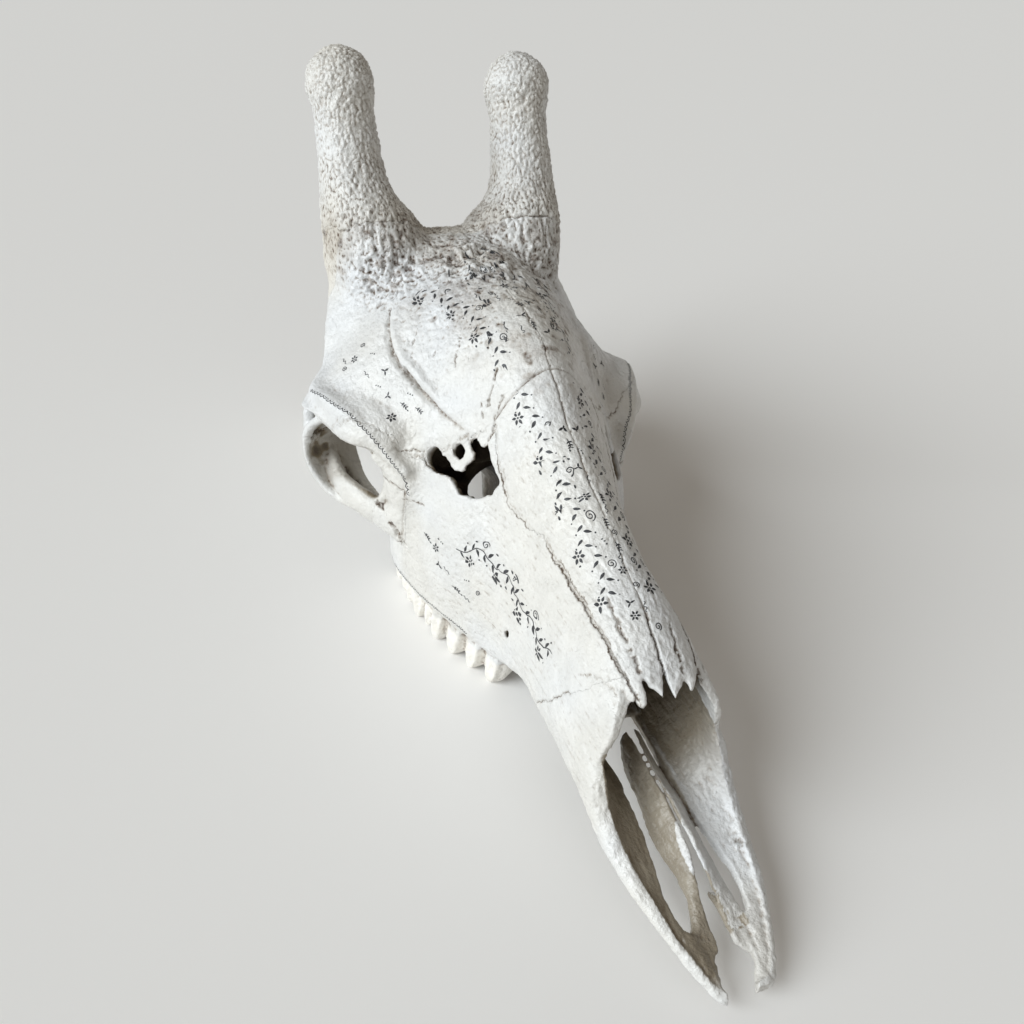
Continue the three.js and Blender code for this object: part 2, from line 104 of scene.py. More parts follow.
# Lines of the skull, each as a value at a distance y behind the muzzle tips
roof_top = profile(
    (100, 103), (125, 117), (165, 140), (201, 153), (241, 170), (281, 188), (309, 206), (335, 222),
    (370, 231), (426, 233), (506, 232), (535, 223), (565, 203), (590, 184), (606, 174),
)
roof_half_width = profile(
    (120, 42), (165, 46), (240, 47), (280, 56), (320, 68), (350, 84), (385, 109), (415, 128),
    (433, 134), (445, 129), (460, 113), (480, 105), (505, 97), (540, 82), (570, 66), (592, 58), (606, 54),
)
roof_edge = profile(
    (120, 55), (165, 60), (240, 62), (280, 70), (320, 92), (350, 110), (385, 130), (415, 139),
    (433, 136), (445, 136), (460, 150), (480, 168), (505, 182), (540, 176), (570, 148), (592, 128),
    (606, 120),
)
roof_slope = profile(
    (120, 0.9), (150, 1.2), (180, 1.4), (210, 1.4), (260, 1.4), (300, 1.8), (350, 2.6), (400, 3.3),
    (445, 2.6), (505, 1.2), (606, 1),
)
roof_square = profile((120, 2.8), (150, 2.5), (190, 2.15), (240, 2))
core_half_width = profile(
    (165, 45), (200, 45), (240, 46), (262, 50), (282, 58), (305, 68), (340, 78), (370, 81), (388, 76),
    (402, 64), (430, 55), (460, 50), (500, 54), (540, 60), (575, 66), (606, 62),
)
core_top = profile(
    (165, 85), (240, 120), (300, 150), (340, 165), (380, 190), (430, 210), (500, 214), (540, 204),
    (575, 176), (606, 150),
)
core_middle = profile(
    (165, 58), (240, 56), (282, 50), (340, 50), (380, 54), (402, 84), (430, 115), (460, 130),
    (540, 130), (575, 112), (606, 98),
)
core_bottom = profile(
    (165, 39), (200, 35), (240, 26), (262, 20), (300, 19), (380, 19), (400, 27), (420, 44),
    (460, 54), (540, 57), (606, 58),
)
core_square_above = profile((240, 2), (290, 2.8), (380, 2.8), (420, 2))
core_square_below = profile((220, 2.3), (270, 4), (380, 4), (410, 2.3))
nasal_half_width = profile((120, 20), (150, 25), (205, 27), (245, 30), (275, 37), (300, 38), (335, 34))
muzzle_half_width = profile(
    (0, 17), (8, 22.5), (20, 28), (37, 34.5), (57, 40), (80, 45), (105, 48), (135, 48), (200, 46),
)
muzzle_top = profile(
    (0, 15), (20, 24), (50, 34), (80, 43), (100, 55), (110, 65), (117, 76), (124, 82), (135, 86), (160, 92),
)
muzzle_floor = profile((0, 7), (15, 12), (37, 18), (60, 23), (100, 30), (135, 34), (200, 37))
trough_top_half_width = profile(
    (3, 12), (8, 18), (20, 23.5), (36, 29), (58, 33.5), (84, 37.5), (109, 39.5), (140, 39), (190, 36),
)
trough_floor_half_width = profile(
    (3, 8), (8, 14), (20, 18), (36, 21), (63, 25), (85, 25), (110, 24), (190, 24),
)


# Closed meshes

def linked(name, data):
    """New object in the scene."""
    made = bpy.data.objects.new(name, data)
    bpy.context.scene.collection.objects.link(made)
    return made


def mesh_object(name, points, faces):
    mesh = bpy.data.meshes.new(name)
    mesh.from_pydata(np.asarray(points, float), [], np.asarray(faces, int))
    return linked(name, mesh)


def solid(points, faces):
    """Closed body with its faces turned outward."""
    points = np.asarray(points, float)
    faces = np.asarray(faces, int)
    a, b, c = (points[faces[:, i]] for i in range(3))
    if np.einsum("ij,ij->", a, np.cross(b, c)) < 0:
        faces = faces[:, ::-1]
    return mesh_object("form", points, faces)


def skin(rings, round_trip=False):
    """Closed skin over rings with the same number of points, capped or joined end to end."""
    rings = np.asarray(rings, float)
    count, sides = rings.shape[:2]
    near = np.arange(sides)
    after = (near + 1) % sides
    faces = []
    for r in range(count if round_trip else count - 1):
        a = r * sides
        b = ((r + 1) % count) * sides
        faces.append(np.stack([a + near, a + after, b + near], 1))
        faces.append(np.stack([a + after, b + after, b + near], 1))
    points = rings.reshape(-1, 3)
    if not round_trip:
        middle = len(points)
        points = np.concatenate([points, rings[0].mean(0)[None], rings[-1].mean(0)[None]])
        end = (count - 1) * sides
        faces.append(np.stack([np.full(sides, middle), after, near], 1))
        faces.append(np.stack([np.full(sides, middle + 1), end + near, end + after], 1))
    return solid(points, np.concatenate(faces))


def combine(operation, base, *others):
    """Boolean of a body with others, which are used up."""
    for other in others:
        cut = base.modifiers.new("cut", "BOOLEAN")
        cut.operation = operation
        cut.solver = "MANIFOLD"
        cut.object = other
    apply_modifiers(base)
    for other in others:
        bpy.data.objects.remove(other)
    return base


def apply_modifiers(piece):
    bpy.context.view_layer.update()
    deps = bpy.context.evaluated_depsgraph_get()
    made = bpy.data.meshes.new_from_object(piece.evaluated_get(deps))
    old = piece.data
    piece.modifiers.clear()
    piece.data = made
    bpy.data.meshes.remove(old)


def duplicate(piece, mirror=False):
    twin = piece.copy()
    twin.data = piece.data.copy()
    bpy.context.scene.collection.objects.link(twin)
    if mirror:
        twin.data.transform(Matrix.Scale(-1, 4, (1, 0, 0)))
        twin.data.flip_normals()
    return twin


def both(piece):
    return piece, duplicate(piece, mirror=True)


# Ways to draw a form

def stations(start, end, step=4.0):
    return np.linspace(start, end, max(3, round((end - start) / step) + 1))


def quarter(width, height, power, slope):
    """A quarter of a rounded outline, from straight up to straight out."""
    steps = 22
    angle = np.linspace(0, np.pi / 2, steps + 1)
    out = width * np.sin(angle) ** (2 / power)
    rise = height * np.clip(np.cos(angle), 0, 1) ** (2 / power * slope)
    return np.stack([out, rise], 1)


def ring_from_half(y, half):
    """Half an outline on the left, from top to bottom, closed with its mirror image at y."""
    half = np.asarray(half, float)
    other = half[1:-1][::-1] * [-1, 1]
    ring = np.concatenate([half, other])
    return np.stack([ring[:, 0], np.full(len(ring), y), ring[:, 1]], 1)


def ring_across(y, width, top, middle, bottom, above, below):
    """Outline at y; above is the power and slope of its upper half, below the power of the lower."""
    upper = quarter(width, top - middle, *above)
    lower = quarter(width, bottom - middle, below, 1)[:-1][::-1]
    return ring_from_half(y, np.concatenate([upper, lower]) + [0, middle])


def along(stops):
    """Smooth path through the stops, as a function of the stop's number."""
    lines = [profile(*enumerate(column)) for column in np.array(stops, float).T]
    return lambda t: np.stack([line(t) for line in lines], -1)


def limb(stops, up=UP, sides=28, rows=8):
    """Tapering limb of elliptical section. A stop is x, y, z, half thickness across and upright."""
    path = along(stops)
    t = np.linspace(0, len(stops) - 1, (len(stops) - 1) * rows + 1)
    values = path(t)
    centre = values[:, :3]
    forward = path(np.minimum(t + 0.01, t[-1]))[:, :3] - path(np.maximum(t - 0.01, 0))[:, :3]
    forward /= np.linalg.norm(forward, axis=1)[:, None]
    side = np.cross(forward, np.asarray(up, float))
    side /= np.linalg.norm(side, axis=1)[:, None]
    rise = np.cross(side, forward)
    angle = np.linspace(0, 2 * np.pi, sides, endpoint=False)
    rings = (
        centre[:, None]
        + side[:, None] * (values[:, 3:4] * np.cos(angle))[..., None]
        + rise[:, None] * (values[:, 4:5] * np.sin(angle))[..., None]
    )
    return skin(rings)


def ellipsoid(centre, radii, turn):
    steps = 24
    polar = np.linspace(0.05, np.pi - 0.05, steps)
    angle = np.linspace(0, 2 * np.pi, steps * 2, endpoint=False)
    rings = np.stack([
        np.outer(np.sin(polar), np.cos(angle)),
        np.outer(np.sin(polar), np.sin(angle)),
        np.outer(np.cos(polar), np.ones(len(angle))),
    ], -1) * radii
    turned = rings @ np.array(Euler(turn).to_matrix()).T
    return skin(turned + centre)


def prism(outline, low, high, axes=(0, 1, 2)):
    """Slab with an outline in the first two axes, between two values on the third."""
    outline = np.asarray(outline, float)
    count = len(outline)
    layers = np.zeros((2, count, 3))
    layers[:, :, axes[0]] = outline[:, 0]
    layers[:, :, axes[1]] = outline[:, 1]
    layers[0, :, axes[2]] = low
    layers[1, :, axes[2]] = high
    made = bmesh.new()
    rows = [[made.verts.new(point) for point in layer] for layer in layers]
    made.faces.new(rows[0])
    made.faces.new(rows[1][::-1])
    for i in range(count):
        after = (i + 1) % count
        made.faces.new((rows[0][i], rows[1][i], rows[1][after], rows[0][after]))
    bmesh.ops.triangulate(made, faces=made.faces[:])
    bmesh.ops.recalc_face_normals(made, faces=made.faces[:])
    mesh = bpy.data.meshes.new("form")
    made.to_mesh(mesh)
    made.free()
    return linked("form", mesh)


def stand(piece, first, second, third, origin):
    """Moves a piece from the axes x, y and z to three others."""
    turn = np.eye(4)
    turn[:3] = np.stack([first, second, third, origin], 1)
    piece.data.transform(Matrix(turn.tolist()))
    if np.linalg.det(turn[:3, :3]) < 0:
        piece.data.flip_normals()
    return piece


def rounded(outline, per_span=5):
    """Closed smooth curve through the points of an outline."""
    count = len(outline)
    points = np.asarray(outline, float)
    t = np.arange(count * per_span) / per_span
    i = np.floor(t).astype(int)
    f = (t - i)[:, None]
    p0, p1, p2, p3 = (points[(i + k) % count] for k in (-1, 0, 1, 2))
    return 0.5 * (
        2 * p1 + (p2 - p0) * f + (2 * p0 - 5 * p1 + 4 * p2 - p3) * f ** 2
        + (3 * p1 - p0 - 3 * p2 + p3) * f ** 3
    )


def ragged(outline):
    """Outline with small teeth, as where thin bone has broken."""
    size = 0.9
    s = np.arange(len(outline))
    shift = np.stack([np.sin(s * 1.9) + np.sin(s * 3.1), np.cos(s * 2.3) + np.sin(s * 4.7)], 1)
    return outline + shift * size / 2


# Forms of the skull

def roof_ring(y, inset=0, bottom=None):
    return ring_across(
        y,
        roof_half_width(y) - inset,
        roof_top(y) - inset,
        roof_edge(y),
        roof_edge(y) - 8 if bottom is None else bottom,
        (roof_square(y), roof_slope(y)),
        2.4,
    )


def roof():
    return skin([roof_ring(y) for y in stations(FACE_FRONT_Y, BACK_OF_CRANIUM_Y)])


def core():
    """Sides of the face, the toothed upper jaws and the braincase under the roof."""
    return skin([
        ring_across(
            y, core_half_width(y), core_top(y), core_middle(y), core_bottom(y),
            (core_square_above(y), 1), core_square_below(y),
        )
        for y in stations(172, BACK_OF_CRANIUM_Y)
    ])


def nasal_passage():
    wall = profile((116, 5), (200, 6), (300, 4.5), (336, 5), (372, 24))
    floor = profile((116, 37), (200, 44), (260, 46), (300, 52), (330, 66), (372, 90))
    return skin([roof_ring(y, wall(y), floor(y)) for y in stations(116, 372)])


def throat_way():
    """Way down from the nose to the back of the palate, through which light shows."""
    return limb([
        (0, 300, 104, 26, 24), (0, 340, 94, 26, 24), (0, 380, 76, 25, 23), (0, 415, 52, 22, 20),
        (0, 450, 30, 20, 18), (0, 480, 8, 18, 16),
    ])


def nasal_notch():
    outline = [
        (60, 40), (84, 46), (100, 56), (110, 66), (116, 77), (119.7, 88.5), (122.5, 95), (126.5, 102.5),
        (132.2, 110), (136, 113), (141, 118), (148, 127), (148, 170), (60, 170),
    ]
    return prism(outline, -80, 80, axes=(1, 2, 0))


def nasal_tips():
    """Nasal bones where they stand out over the nasal opening, each with two prongs."""
    thickness = profile((116, 3.2), (150, 5), (186, 6))
    rings = []
    for y in stations(NASAL_TIP_Y - 6, 186, 3):
        arches = [
            quarter(
                roof_half_width(y) - inset, roof_top(y) - roof_edge(y) - inset, roof_square(y),
                roof_slope(y),
            )[:-1] + [0, roof_edge(y)]
            for inset in (0, thickness(y))
        ]
        rings.append(ring_from_half(y, np.concatenate([arches[0], arches[1][::-1]])))
    right = prism([
        (-2.4, 200), (-2.6, 160), (-3, 141), (-4, 131), (-5.6, 127), (-7, 125.2), (-9, 128.5),
        (-12.5, 132.6), (-14.6, 137.6), (-15.6, 139.6), (-16.4, 134), (-16.8, 126.4), (-18.2, 123.6),
        (-19.8, 124), (-22, 128), (-24.3, 132.9), (-26, 139.5), (-27, 143), (-31, 152), (-38, 164),
        (-44, 200),
    ], 60, 180)
    left = prism([
        (-1.6, 200), (-1.3, 160), (-1.2, 137), (-0.8, 125), (0.2, 122.2), (2, 123), (3.5, 125.5),
        (7, 127.6), (9.4, 131), (10.2, 136), (10.9, 130), (11.8, 124.6), (14, 125), (19, 131), (26, 142),
        (31, 152), (38, 164), (44, 200),
    ], 60, 180)
    return combine("INTERSECT", skin(rings), combine("UNION", left, right))


def muzzle_shell():
    rings = []
    for y in stations(0, 200, 3):
        height = muzzle_top(y) - muzzle_floor(y)
        rings.append(ring_across(
            y, muzzle_half_width(y), muzzle_top(y), muzzle_floor(y) + height * 0.45, muzzle_floor(y),
            (3, 1), 3,
        ))
    return skin(rings)


def trough():
    """Open space between the bars of the muzzle."""
    floor_thickness = profile((3, 3), (20, 4), (60, 4), (100, 6))
    clearance = 60
    rings = []
    for y in stations(3, 200, 3):
        low = muzzle_floor(y) + floor_thickness(y)
        high = muzzle_top(y)
        wide = trough_top_half_width(y)
        narrow = trough_floor_half_width(y)
        side = along([
            (wide, high + clearance), (wide, high + 2), (wide - 0.6, high - 4),
            ((wide * 2 + narrow) / 3, low + (high - low) * 0.45), (narrow, low + 3), (narrow * 0.6, low),
            (0, low),
        ])
        half = np.concatenate([[(0, high + clearance)], side(np.linspace(0, 6, 25))])
        rings.append(ring_from_half(y, half))
    return skin(rings)


def palatine_slit():
    """Long openings in the floor of the muzzle, which meet behind the bars."""
    return prism(rounded([
        (18.5, 36.5), (21.5, 41), (23, 48), (23.6, 60), (21.6, 71), (20, 80), (18.4, 92), (17.4, 104),
        (16.4, 118), (15.6, 134), (16, 150), (17, 166), (17, 180), (14, 191), (8, 197), (-3, 197),
        (-3, 130), (-3, 80), (-2, 58), (4, 54), (9, 53), (12, 50), (14.5, 42),
    ]), 0, 80)


def front_notch():
    """Gap between the tips of the muzzle, and the slot behind it."""
    return prism([
        (5, -6), (6, 3), (8.5, 8), (12, 13), (12.5, 17), (9.5, 21), (6, 24.5), (5.2, 30), (4.4, 40),
        (4, 50), (3.4, 62), (-3.4, 62), (-4, 50), (-4.4, 40), (-4.6, 32), (-5, 27), (-5.5, 24.4),
        (-9.6, 22.6), (-11, 19.5), (-10.6, 17), (-13, 13.6), (-12.4, 10.8), (-14, 8), (-13, 3),
        (-13.6, -6),
    ], -5, 60)


def palatine_bar(side):
    """Leaning thin plate between the slits; the two plates meet in a ridge behind the front slot."""
    lean = {
        1: profile((36, 19), (46, 17), (60, 15.5), (75, 15.5), (97, 16.5), (118, 15), (142, 12), (152, 9)),
        -1: profile((36, 16), (46, 12), (56, 10), (70, 9.6), (83, 11.4), (96, 11.6), (110, 9.4), (152, 5)),
    }[side]
    base_z = profile((36, 20.5), (50, 24), (75, 27), (92, 29), (110, 32), (127, 34), (142, 37), (152, 46))
    top_x = profile(
        (36, 5.5), (50, 4.2), (60, 3.4), (75, 2.1), (92, 1.3), (127, 1.2), (142, 1.6), (152, 2.4),
    )
    top_z = profile(
        (36, 21), (50, 29), (64, 38), (75, 43), (90, 46.5), (105, 49.5), (121, 51), (134, 53.5),
        (152, 56.5),
    )
    share = np.linspace(0, 1, 7)
    rings = []
    for y in stations(36, 152, 3):
        low = np.array([lean(y), base_z(y)])
        high = np.array([top_x(y), top_z(y)])
        slope = (high - low) / np.linalg.norm(high - low)
        out = np.array([slope[1], -slope[0]])
        middle = low + share[:, None] * (high - low)
        bulge = np.sin(np.pi * share)[:, None]
        half = (1.6 - 0.5 * share)[:, None]
        outline = np.concatenate([middle + out * (half + bulge), (middle + out * (bulge - half))[::-1]])
        rings.append([(side * x, y, z) for x, z in outline[::side]])
    return skin(rings)


def muzzle():
    made = combine("DIFFERENCE", muzzle_shell(), trough(), *both(palatine_slit()))
    made = combine("UNION", made, palatine_bar(1), palatine_bar(-1))
    return combine("DIFFERENCE", made, front_notch())


def ring_place(turn):
    """Middle of the orbit's bony ring at an angle from straight back, and the way outward there."""
    back = np.cross(UP, ORBIT_FACING)
    level = back * np.cos(turn)
    rise = UP * np.sin(turn)
    middle = ORBIT_CENTRE + level * ORBIT_LEVEL_RADIUS + rise * ORBIT_UPRIGHT_RADIUS
    return middle, level + rise


def orbit_ring():
    """Bony ring that faces outward and forward, thick above and thin behind and below."""
    turn = np.linspace(0, 2 * np.pi, 120, endpoint=False)[:, None, None]
    angle = np.linspace(0, 2 * np.pi, 20, endpoint=False)[None, :, None]
    middle, outward = ring_place(turn)
    thin = 0.5 + 0.5 * np.cos(turn + np.pi / 4)
    thick = 4.9 - 2.8 * thin
    lip = 6.5 - 4.0 * thin
    return skin(middle + outward * thick * np.cos(angle) + ORBIT_FACING * lip * np.sin(angle), True)


def in_orbit(depth, across, upright):
    return (*(ORBIT_CENTRE - ORBIT_FACING * depth), across, upright)


def orbit_socket():
    return limb([
        in_orbit(-30, 34, 31), in_orbit(0, 33.5, 30.5), in_orbit(24, 34, 30.5), in_orbit(46, 24, 22),
    ], sides=64)


def orbit_plate():
    """Broad thin bar behind and below the orbit, its inner face turned to the eye."""
    reach = profile(
        (-145, 3), (-120, 17), (-90, 28), (-60, 39), (-30, 46), (0, 48), (30, 46), (70, 40), (85, 30),
    )
    rings = []
    for degrees in np.arange(-145, 86, 3.0):
        middle, outward = ring_place(math.radians(degrees))
        depth = reach(degrees)
        section = [
            (1.6, -1.5), (2.0, 8), (1.0 - 0.10 * depth, depth * 0.8), (-0.14 * depth, depth),
            (-1.6 - 0.14 * depth, depth - 1), (-2.6 - 0.10 * depth, depth * 0.8), (-1.8, 8), (-1.4, -1.5),
        ]
        rings.append([middle + outward * out - ORBIT_FACING * deep for out, deep in section])
    return skin(np.array(rings))


def brow():
    """Rounded edge over the orbit."""
    return limb([
        (80, 350, 124, 5, 5), (92, 366, 134, 6, 6), (104, 386, 143, 6.5, 6.5), (113, 404, 147, 7, 7),
        (119, 420, 148, 7, 7), (121, 436, 144, 7, 7), (113, 452, 146, 6, 6), (100, 464, 154, 4, 5),
    ], rows=10)


def ring_shoulder():
    """Joint of the ring and the edge over the orbit, behind."""
    return limb([
        (129, 430, 106, 2.5, 3), (128.5, 432, 113, 3.4, 3.6), (127.5, 435, 120, 3.8, 4),
        (126, 438, 128, 4.4, 4.6), (122, 440, 137, 5, 5),
    ])


def brow_roof():
    """Swelling of the forehead over the orbit."""
    return ellipsoid((90, 410, 143), (34, 46, 15), (0, 0.25, -0.35))


def cheek_root():
    return ellipsoid((76, 358, 84), (13, 18, 14), (0, 0, -0.6))


def tear_bone():
    """Bone before the orbit that joins its ring to the face."""
    return ellipsoid((76, 361, 106), (14, 17, 26), (0, 0, -0.5))


def cheek():
    """Cheek bone under the orbit, and the arch that runs back from it to the cranium."""
    return limb([
        (58, 316, 62, 5, 8), (74, 348, 72, 9, 13), (94, 382, 76, 8, 11), (108, 410, 79, 6, 10),
        (109, 440, 84, 5, 10), (104, 475, 91, 5, 9), (94, 508, 96, 7, 9), (76, 532, 100, 12, 9),
        (50, 545, 106, 14, 12),
    ], rows=10)


def ossicone():
    """Flared foot, leaning shaft and round knob."""
    def down(distance, inward, across, upright):
        return (*(KNOB - OSSICONE_LEAN * distance - [inward, 0, 0]), across, upright)

    return limb([
        down(-26.2, 0, 1.5, 1.5), down(-25.5, 0, 6, 6), down(-22, 0, 13.5, 13.5), down(-14, 0, 21.5, 21.5),
        down(-2, 0, 25.8, 25.8), down(8, 0, 25.2, 25.4), down(22, 0, 22.5, 23), down(50, 0, 23.5, 24),
        down(66, 0, 25.2, 26), down(82, 1, 28, 30), down(98, 4, 33, 36), (59, 519, 222, 39, 41),
        (53, 514, 206, 42, 46), (46, 510, 186, 44, 50),
    ], up=(0, 1, 0), sides=96, rows=10)


def tooth(y, x, length, width, lobes):
    """One or two crescent lobes with ribs down the outer face, worn flat below."""
    reach = length / lobes
    height = CROWN_HEIGHT + 12
    level = profile((0, 0.24), (1.5, 0.42), (5, 0.68), (10, 0.88), (16, 1.0), (24, 0.97), (height, 0.74))
    turn = np.linspace(0, 2 * np.pi, 48, endpoint=False)
    square = 2 / 2.7
    across = np.sign(np.cos(turn)) * np.abs(np.cos(turn)) ** square
    lengthways = np.sign(np.sin(turn)) * np.abs(np.sin(turn)) ** square
    ribs = 1 + 0.07 * np.cos(turn * 7) * (np.cos(turn) > 0)
    made = []
    for lobe in range(lobes):
        lean = (-1.5, 2.5)[lobe]
        place = y + (lobe - (lobes - 1) / 2) * reach
        rings = []
        for z in np.linspace(0, height, 16):
            size = level(z)
            rings.append(np.stack([
                x + (1 - size) * width * 0.3 - z * 0.05 + across * ribs * size * width * 0.5,
                place + lengthways * ribs * size * reach * 0.56 + (1 - size) * lean,
                np.full(len(turn), z),
            ], 1))
        made.append(skin(rings))
    return made


def teeth():
    return combine("UNION", *[lobe for row in TEETH for lobe in tooth(*row)])


def palate_hollow():
    half = profile((190, 14), (240, 20), (262, 22), (300, 32), (340, 38), (385, 38), (410, 26))
    top = profile((190, 40), (240, 36), (300, 38), (390, 40), (410, 46))
    return skin([
        ring_across(y, half(y), top(y), 14, -10, (2.4, 1), 4) for y in stations(188, 408)
    ])


def crest():
    return limb([
        (62, 566, 104, 7, 9), (58, 594, 134, 7, 9), (38, 605, 160, 8, 9), (0, 608, 172, 9, 11),
        (-38, 605, 160, 8, 9), (-58, 594, 134, 7, 9), (-62, 566, 104, 7, 9),
    ], up=(0, 1, 0.4), rows=12)


def condyle():
    return ellipsoid((22, 614, 82), (15, 25.4, 21), (0.35, 0.25, 0))


def cord_opening():
    return limb([(0, 590, 96, 8, 8), (0, 606, 94, 15, 14), (0, 650, 90, 19, 18)])


def side_process():
    return limb([
        (52, 590, 96, 10, 16), (54, 596, 66, 8, 15), (53, 597, 40, 6, 12), (51, 596, 18, 5, 9),
        (50, 595, -3, 4, 6),
    ], up=(0, 1, 0))


def bulla():
    return ellipsoid((36, 560, 56), (13, 19, 18), (0, 0, -0.3))


def wing():
    return limb([
        (30, 440, 78, 6, 26), (26, 432, 54, 4.5, 21), (23, 426, 36, 4, 14), (22, 423, 22, 3, 7),
    ], up=(0, 1, 0))


def below_ground():
    return prism([(-200, -50), (200, -50), (200, 700), (-200, 700)], -60, 0)


def vacuity():
    """Jagged hole in the side of the face before the orbit, its outline in a slanting plane."""
    outline = [
        (35, 1.4), (30.3, 7.7), (25.6, 7.9), (22.4, 5), (18, 4.2), (9.8, -1.8), (2.4, -0.4), (1.4, 3.3),
        (-2.5, 7.1), (-3.6, 12.5), (-0.5, 15), (1.5, 19.5), (-1.3, 22.9), (-5.5, 22.3), (-8.1, 18.9),
        (-13.1, 20.3), (-16.6, 16.2), (-19.3, 11.1), (-25.5, 5.3), (-30, -0.1), (-26.5, -4.5),
        (-26.7, -8.2), (-22, -10.6), (-12.4, -14.9), (-5.7, -14.8), (-0.4, -16), (2.2, -13.4), (5.7, -11),
        (8.8, -8.4), (13.8, -7.3), (20.6, -7.6), (26.6, -7.6), (32.2, -4.9),
    ]
    small_hole = [(14.3, 9.4), (10.5, 16.5), (3.4, 12.5), (7, 5.7)]
    middle = np.array([53, 321, 143])
    backward = np.array([0.42, 0.88, -0.19])
    backward /= np.linalg.norm(backward)
    upward = np.array([-0.3, 0.3, 0.9])
    upward -= backward * (upward @ backward)
    upward /= np.linalg.norm(upward)
    outward = np.cross(backward, upward)
    reach = 21
    parts = [prism(ragged(curve), -reach, reach) for curve in (rounded(outline), rounded(small_hole, 8))]
    return stand(combine("UNION", *parts), backward, upward, outward, middle)


def infraorbital_foramen():
    return limb([(38, 246, 62, 2.6, 3.4), (46, 241, 66, 2.2, 3.4), (54, 235, 70, 2, 3.4)])


def pairs(*forms):
    """Each form on the left with its mirror image."""
    return [piece for form in forms for piece in both(form())]


def whole_skull():
    made = combine("UNION", roof(), core())
    made = combine(
        "DIFFERENCE", made, *pairs(orbit_socket), palate_hollow(), nasal_passage(), nasal_notch(),
    )
    made = combine(
        "UNION", made, nasal_tips(), muzzle(),
        *pairs(
            orbit_ring, orbit_plate, cheek, cheek_root, tear_bone, brow, ring_shoulder, brow_roof, ossicone,
            teeth,
        ),
        crest(), *pairs(condyle, side_process, bulla, wing),
    )
    return combine(
        "DIFFERENCE", made, cord_opening(), throat_way(), *pairs(vacuity, infraorbital_foramen),
        below_ground(),
    )


def remesh(piece, size):
    even = piece.modifiers.new("even", "REMESH")
    even.mode = "VOXEL"
    even.voxel_size = size
    apply_modifiers(piece)


def read(rows, key, width, kind=float):
    values = np.empty(len(rows) * width, kind)
    rows.foreach_get(key, values)
    return values.reshape(-1, width)


def arrays(piece):
    """Points, edges and vertex normals of a piece."""
    mesh = piece.data
    points = read(mesh.vertices, "co", 3)
    edges = read(mesh.edges, "vertices", 2, int)
    return points, edges, read(mesh.vertices, "normal", 3)


def write_points(piece, points):
    piece.data.vertices.foreach_set("co", points.ravel())
    piece.data.update()


def averaged(values, edges, count):
    """Mean of each vertex's neighbours."""
    total = np.zeros((count, values.shape[1]))
    for axis in range(values.shape[1]):
        column = values[:, axis]
        total[:, axis] = (
            np.bincount(edges[:, 0], column[edges[:, 1]], count)
            + np.bincount(edges[:, 1], column[edges[:, 0]], count)
        )
    degree = np.bincount(edges.ravel(), minlength=count)
    return total / np.maximum(degree, 1)[:, None]


def smoothed(points, edges, rounds, weight=None):
    """Evened out points, all of them or only where their weight is above zero."""
    strength = 0.6
    chosen = np.arange(len(points))
    if weight is not None:
        touched = (weight[edges] > 0.01).any(1)
        chosen, edges = np.unique(edges[touched], return_inverse=True)
        edges = edges.reshape(-1, 2)
        strength = strength * weight[chosen][:, None]
    part = points[chosen]
    for _ in range(rounds):
        part += strength * (averaged(part, edges, len(part)) - part)
    result = points.copy()
    result[chosen] = part
    return result


def near(points, centre, radius):
    """Weight that fades from 1 at a place to 0 at a distance, on both sides of the skull."""
    centre = np.array(centre, float)
    away = np.minimum(
        np.linalg.norm(points - centre, axis=1),
        np.linalg.norm(points - centre * [-1, 1, 1], axis=1),
    )
    return np.clip(1.5 * (1 - away / radius), 0, 1)


ROUNDS_ALL_OVER = 4  # of smoothing, before the joints are blended

# Joints of the forms that are blended: place on the left, radius and reach of the smoothing
BLENDS = [
    ((62, 512, 222), 70, 15),
    ((110, 424, 156), 38, 9),
    ((112, 446, 146), 24, 7),
    ((82, 366, 134), 30, 9),
    ((68, 346, 90), 32, 10),
    ((80, 360, 112), 24, 6),
    ((78, 530, 102), 26, 8),
    ((40, 150, 80), 26, 8),
    ((14, 52, 24), 16, 3),
    ((0, 606, 166), 34, 7),
    ((48, 600, 146), 30, 7),
    ((60, 580, 114), 24, 7),
    ((24, 600, 86), 22, 5),
    ((52, 590, 82), 22, 6),
    ((36, 560, 68), 20, 5),
]


def blended(points, edges):
    for centre, radius, reach in BLENDS:
        points = smoothed(points, edges, round((reach / VOXEL) ** 2), near(points, centre, radius))
    return points


# Places pushed outward on the left half alone: centre, direction, radius and reach
SWELLS = [
    ((60, 320, 140), (0.8, -0.5, 0.1), 78, 8),
    ((112, 390, 112), (0.7, -0.7, 0.1), 75, 9),
]


def swollen(points):
    for centre, direction, radius, reach in SWELLS:
        away = np.linalg.norm(points - centre, axis=1) / radius
        toward = np.array(direction) / np.linalg.norm(direction)
        points = points + (np.clip(1 - away ** 2, 0, 1) ** 2)[:, None] * reach * toward
    return points


# Noise

def scattered(i, j, k, seed):
    """Even random numbers from -1 to 1 for whole-numbered places."""
    mixed = (i * 73856093) ^ (j * 19349663) ^ (k * 83492791) ^ (seed * 2654435761)
    mixed = (mixed & 0xFFFFFFFF) * 1274126177 & 0xFFFFFFFF
    mixed = ((mixed ^ (mixed >> 15)) * 2246822519) & 0xFFFFFFFF
    return (((mixed ^ (mixed >> 13)) & 0xFFFF) / 32767.5) - 1


def smooth_noise(points, seed):
    base = np.floor(points).astype(np.int64)
    part = points - base
    part = part ** 3 * (part * (part * 6 - 15) + 10)
    total = np.zeros(len(points))
    for corner in np.ndindex(2, 2, 2):
        weight = np.prod(np.where(np.array(corner), part, 1 - part), axis=1)
        total += weight * scattered(*(base + corner).T, seed)
    return total


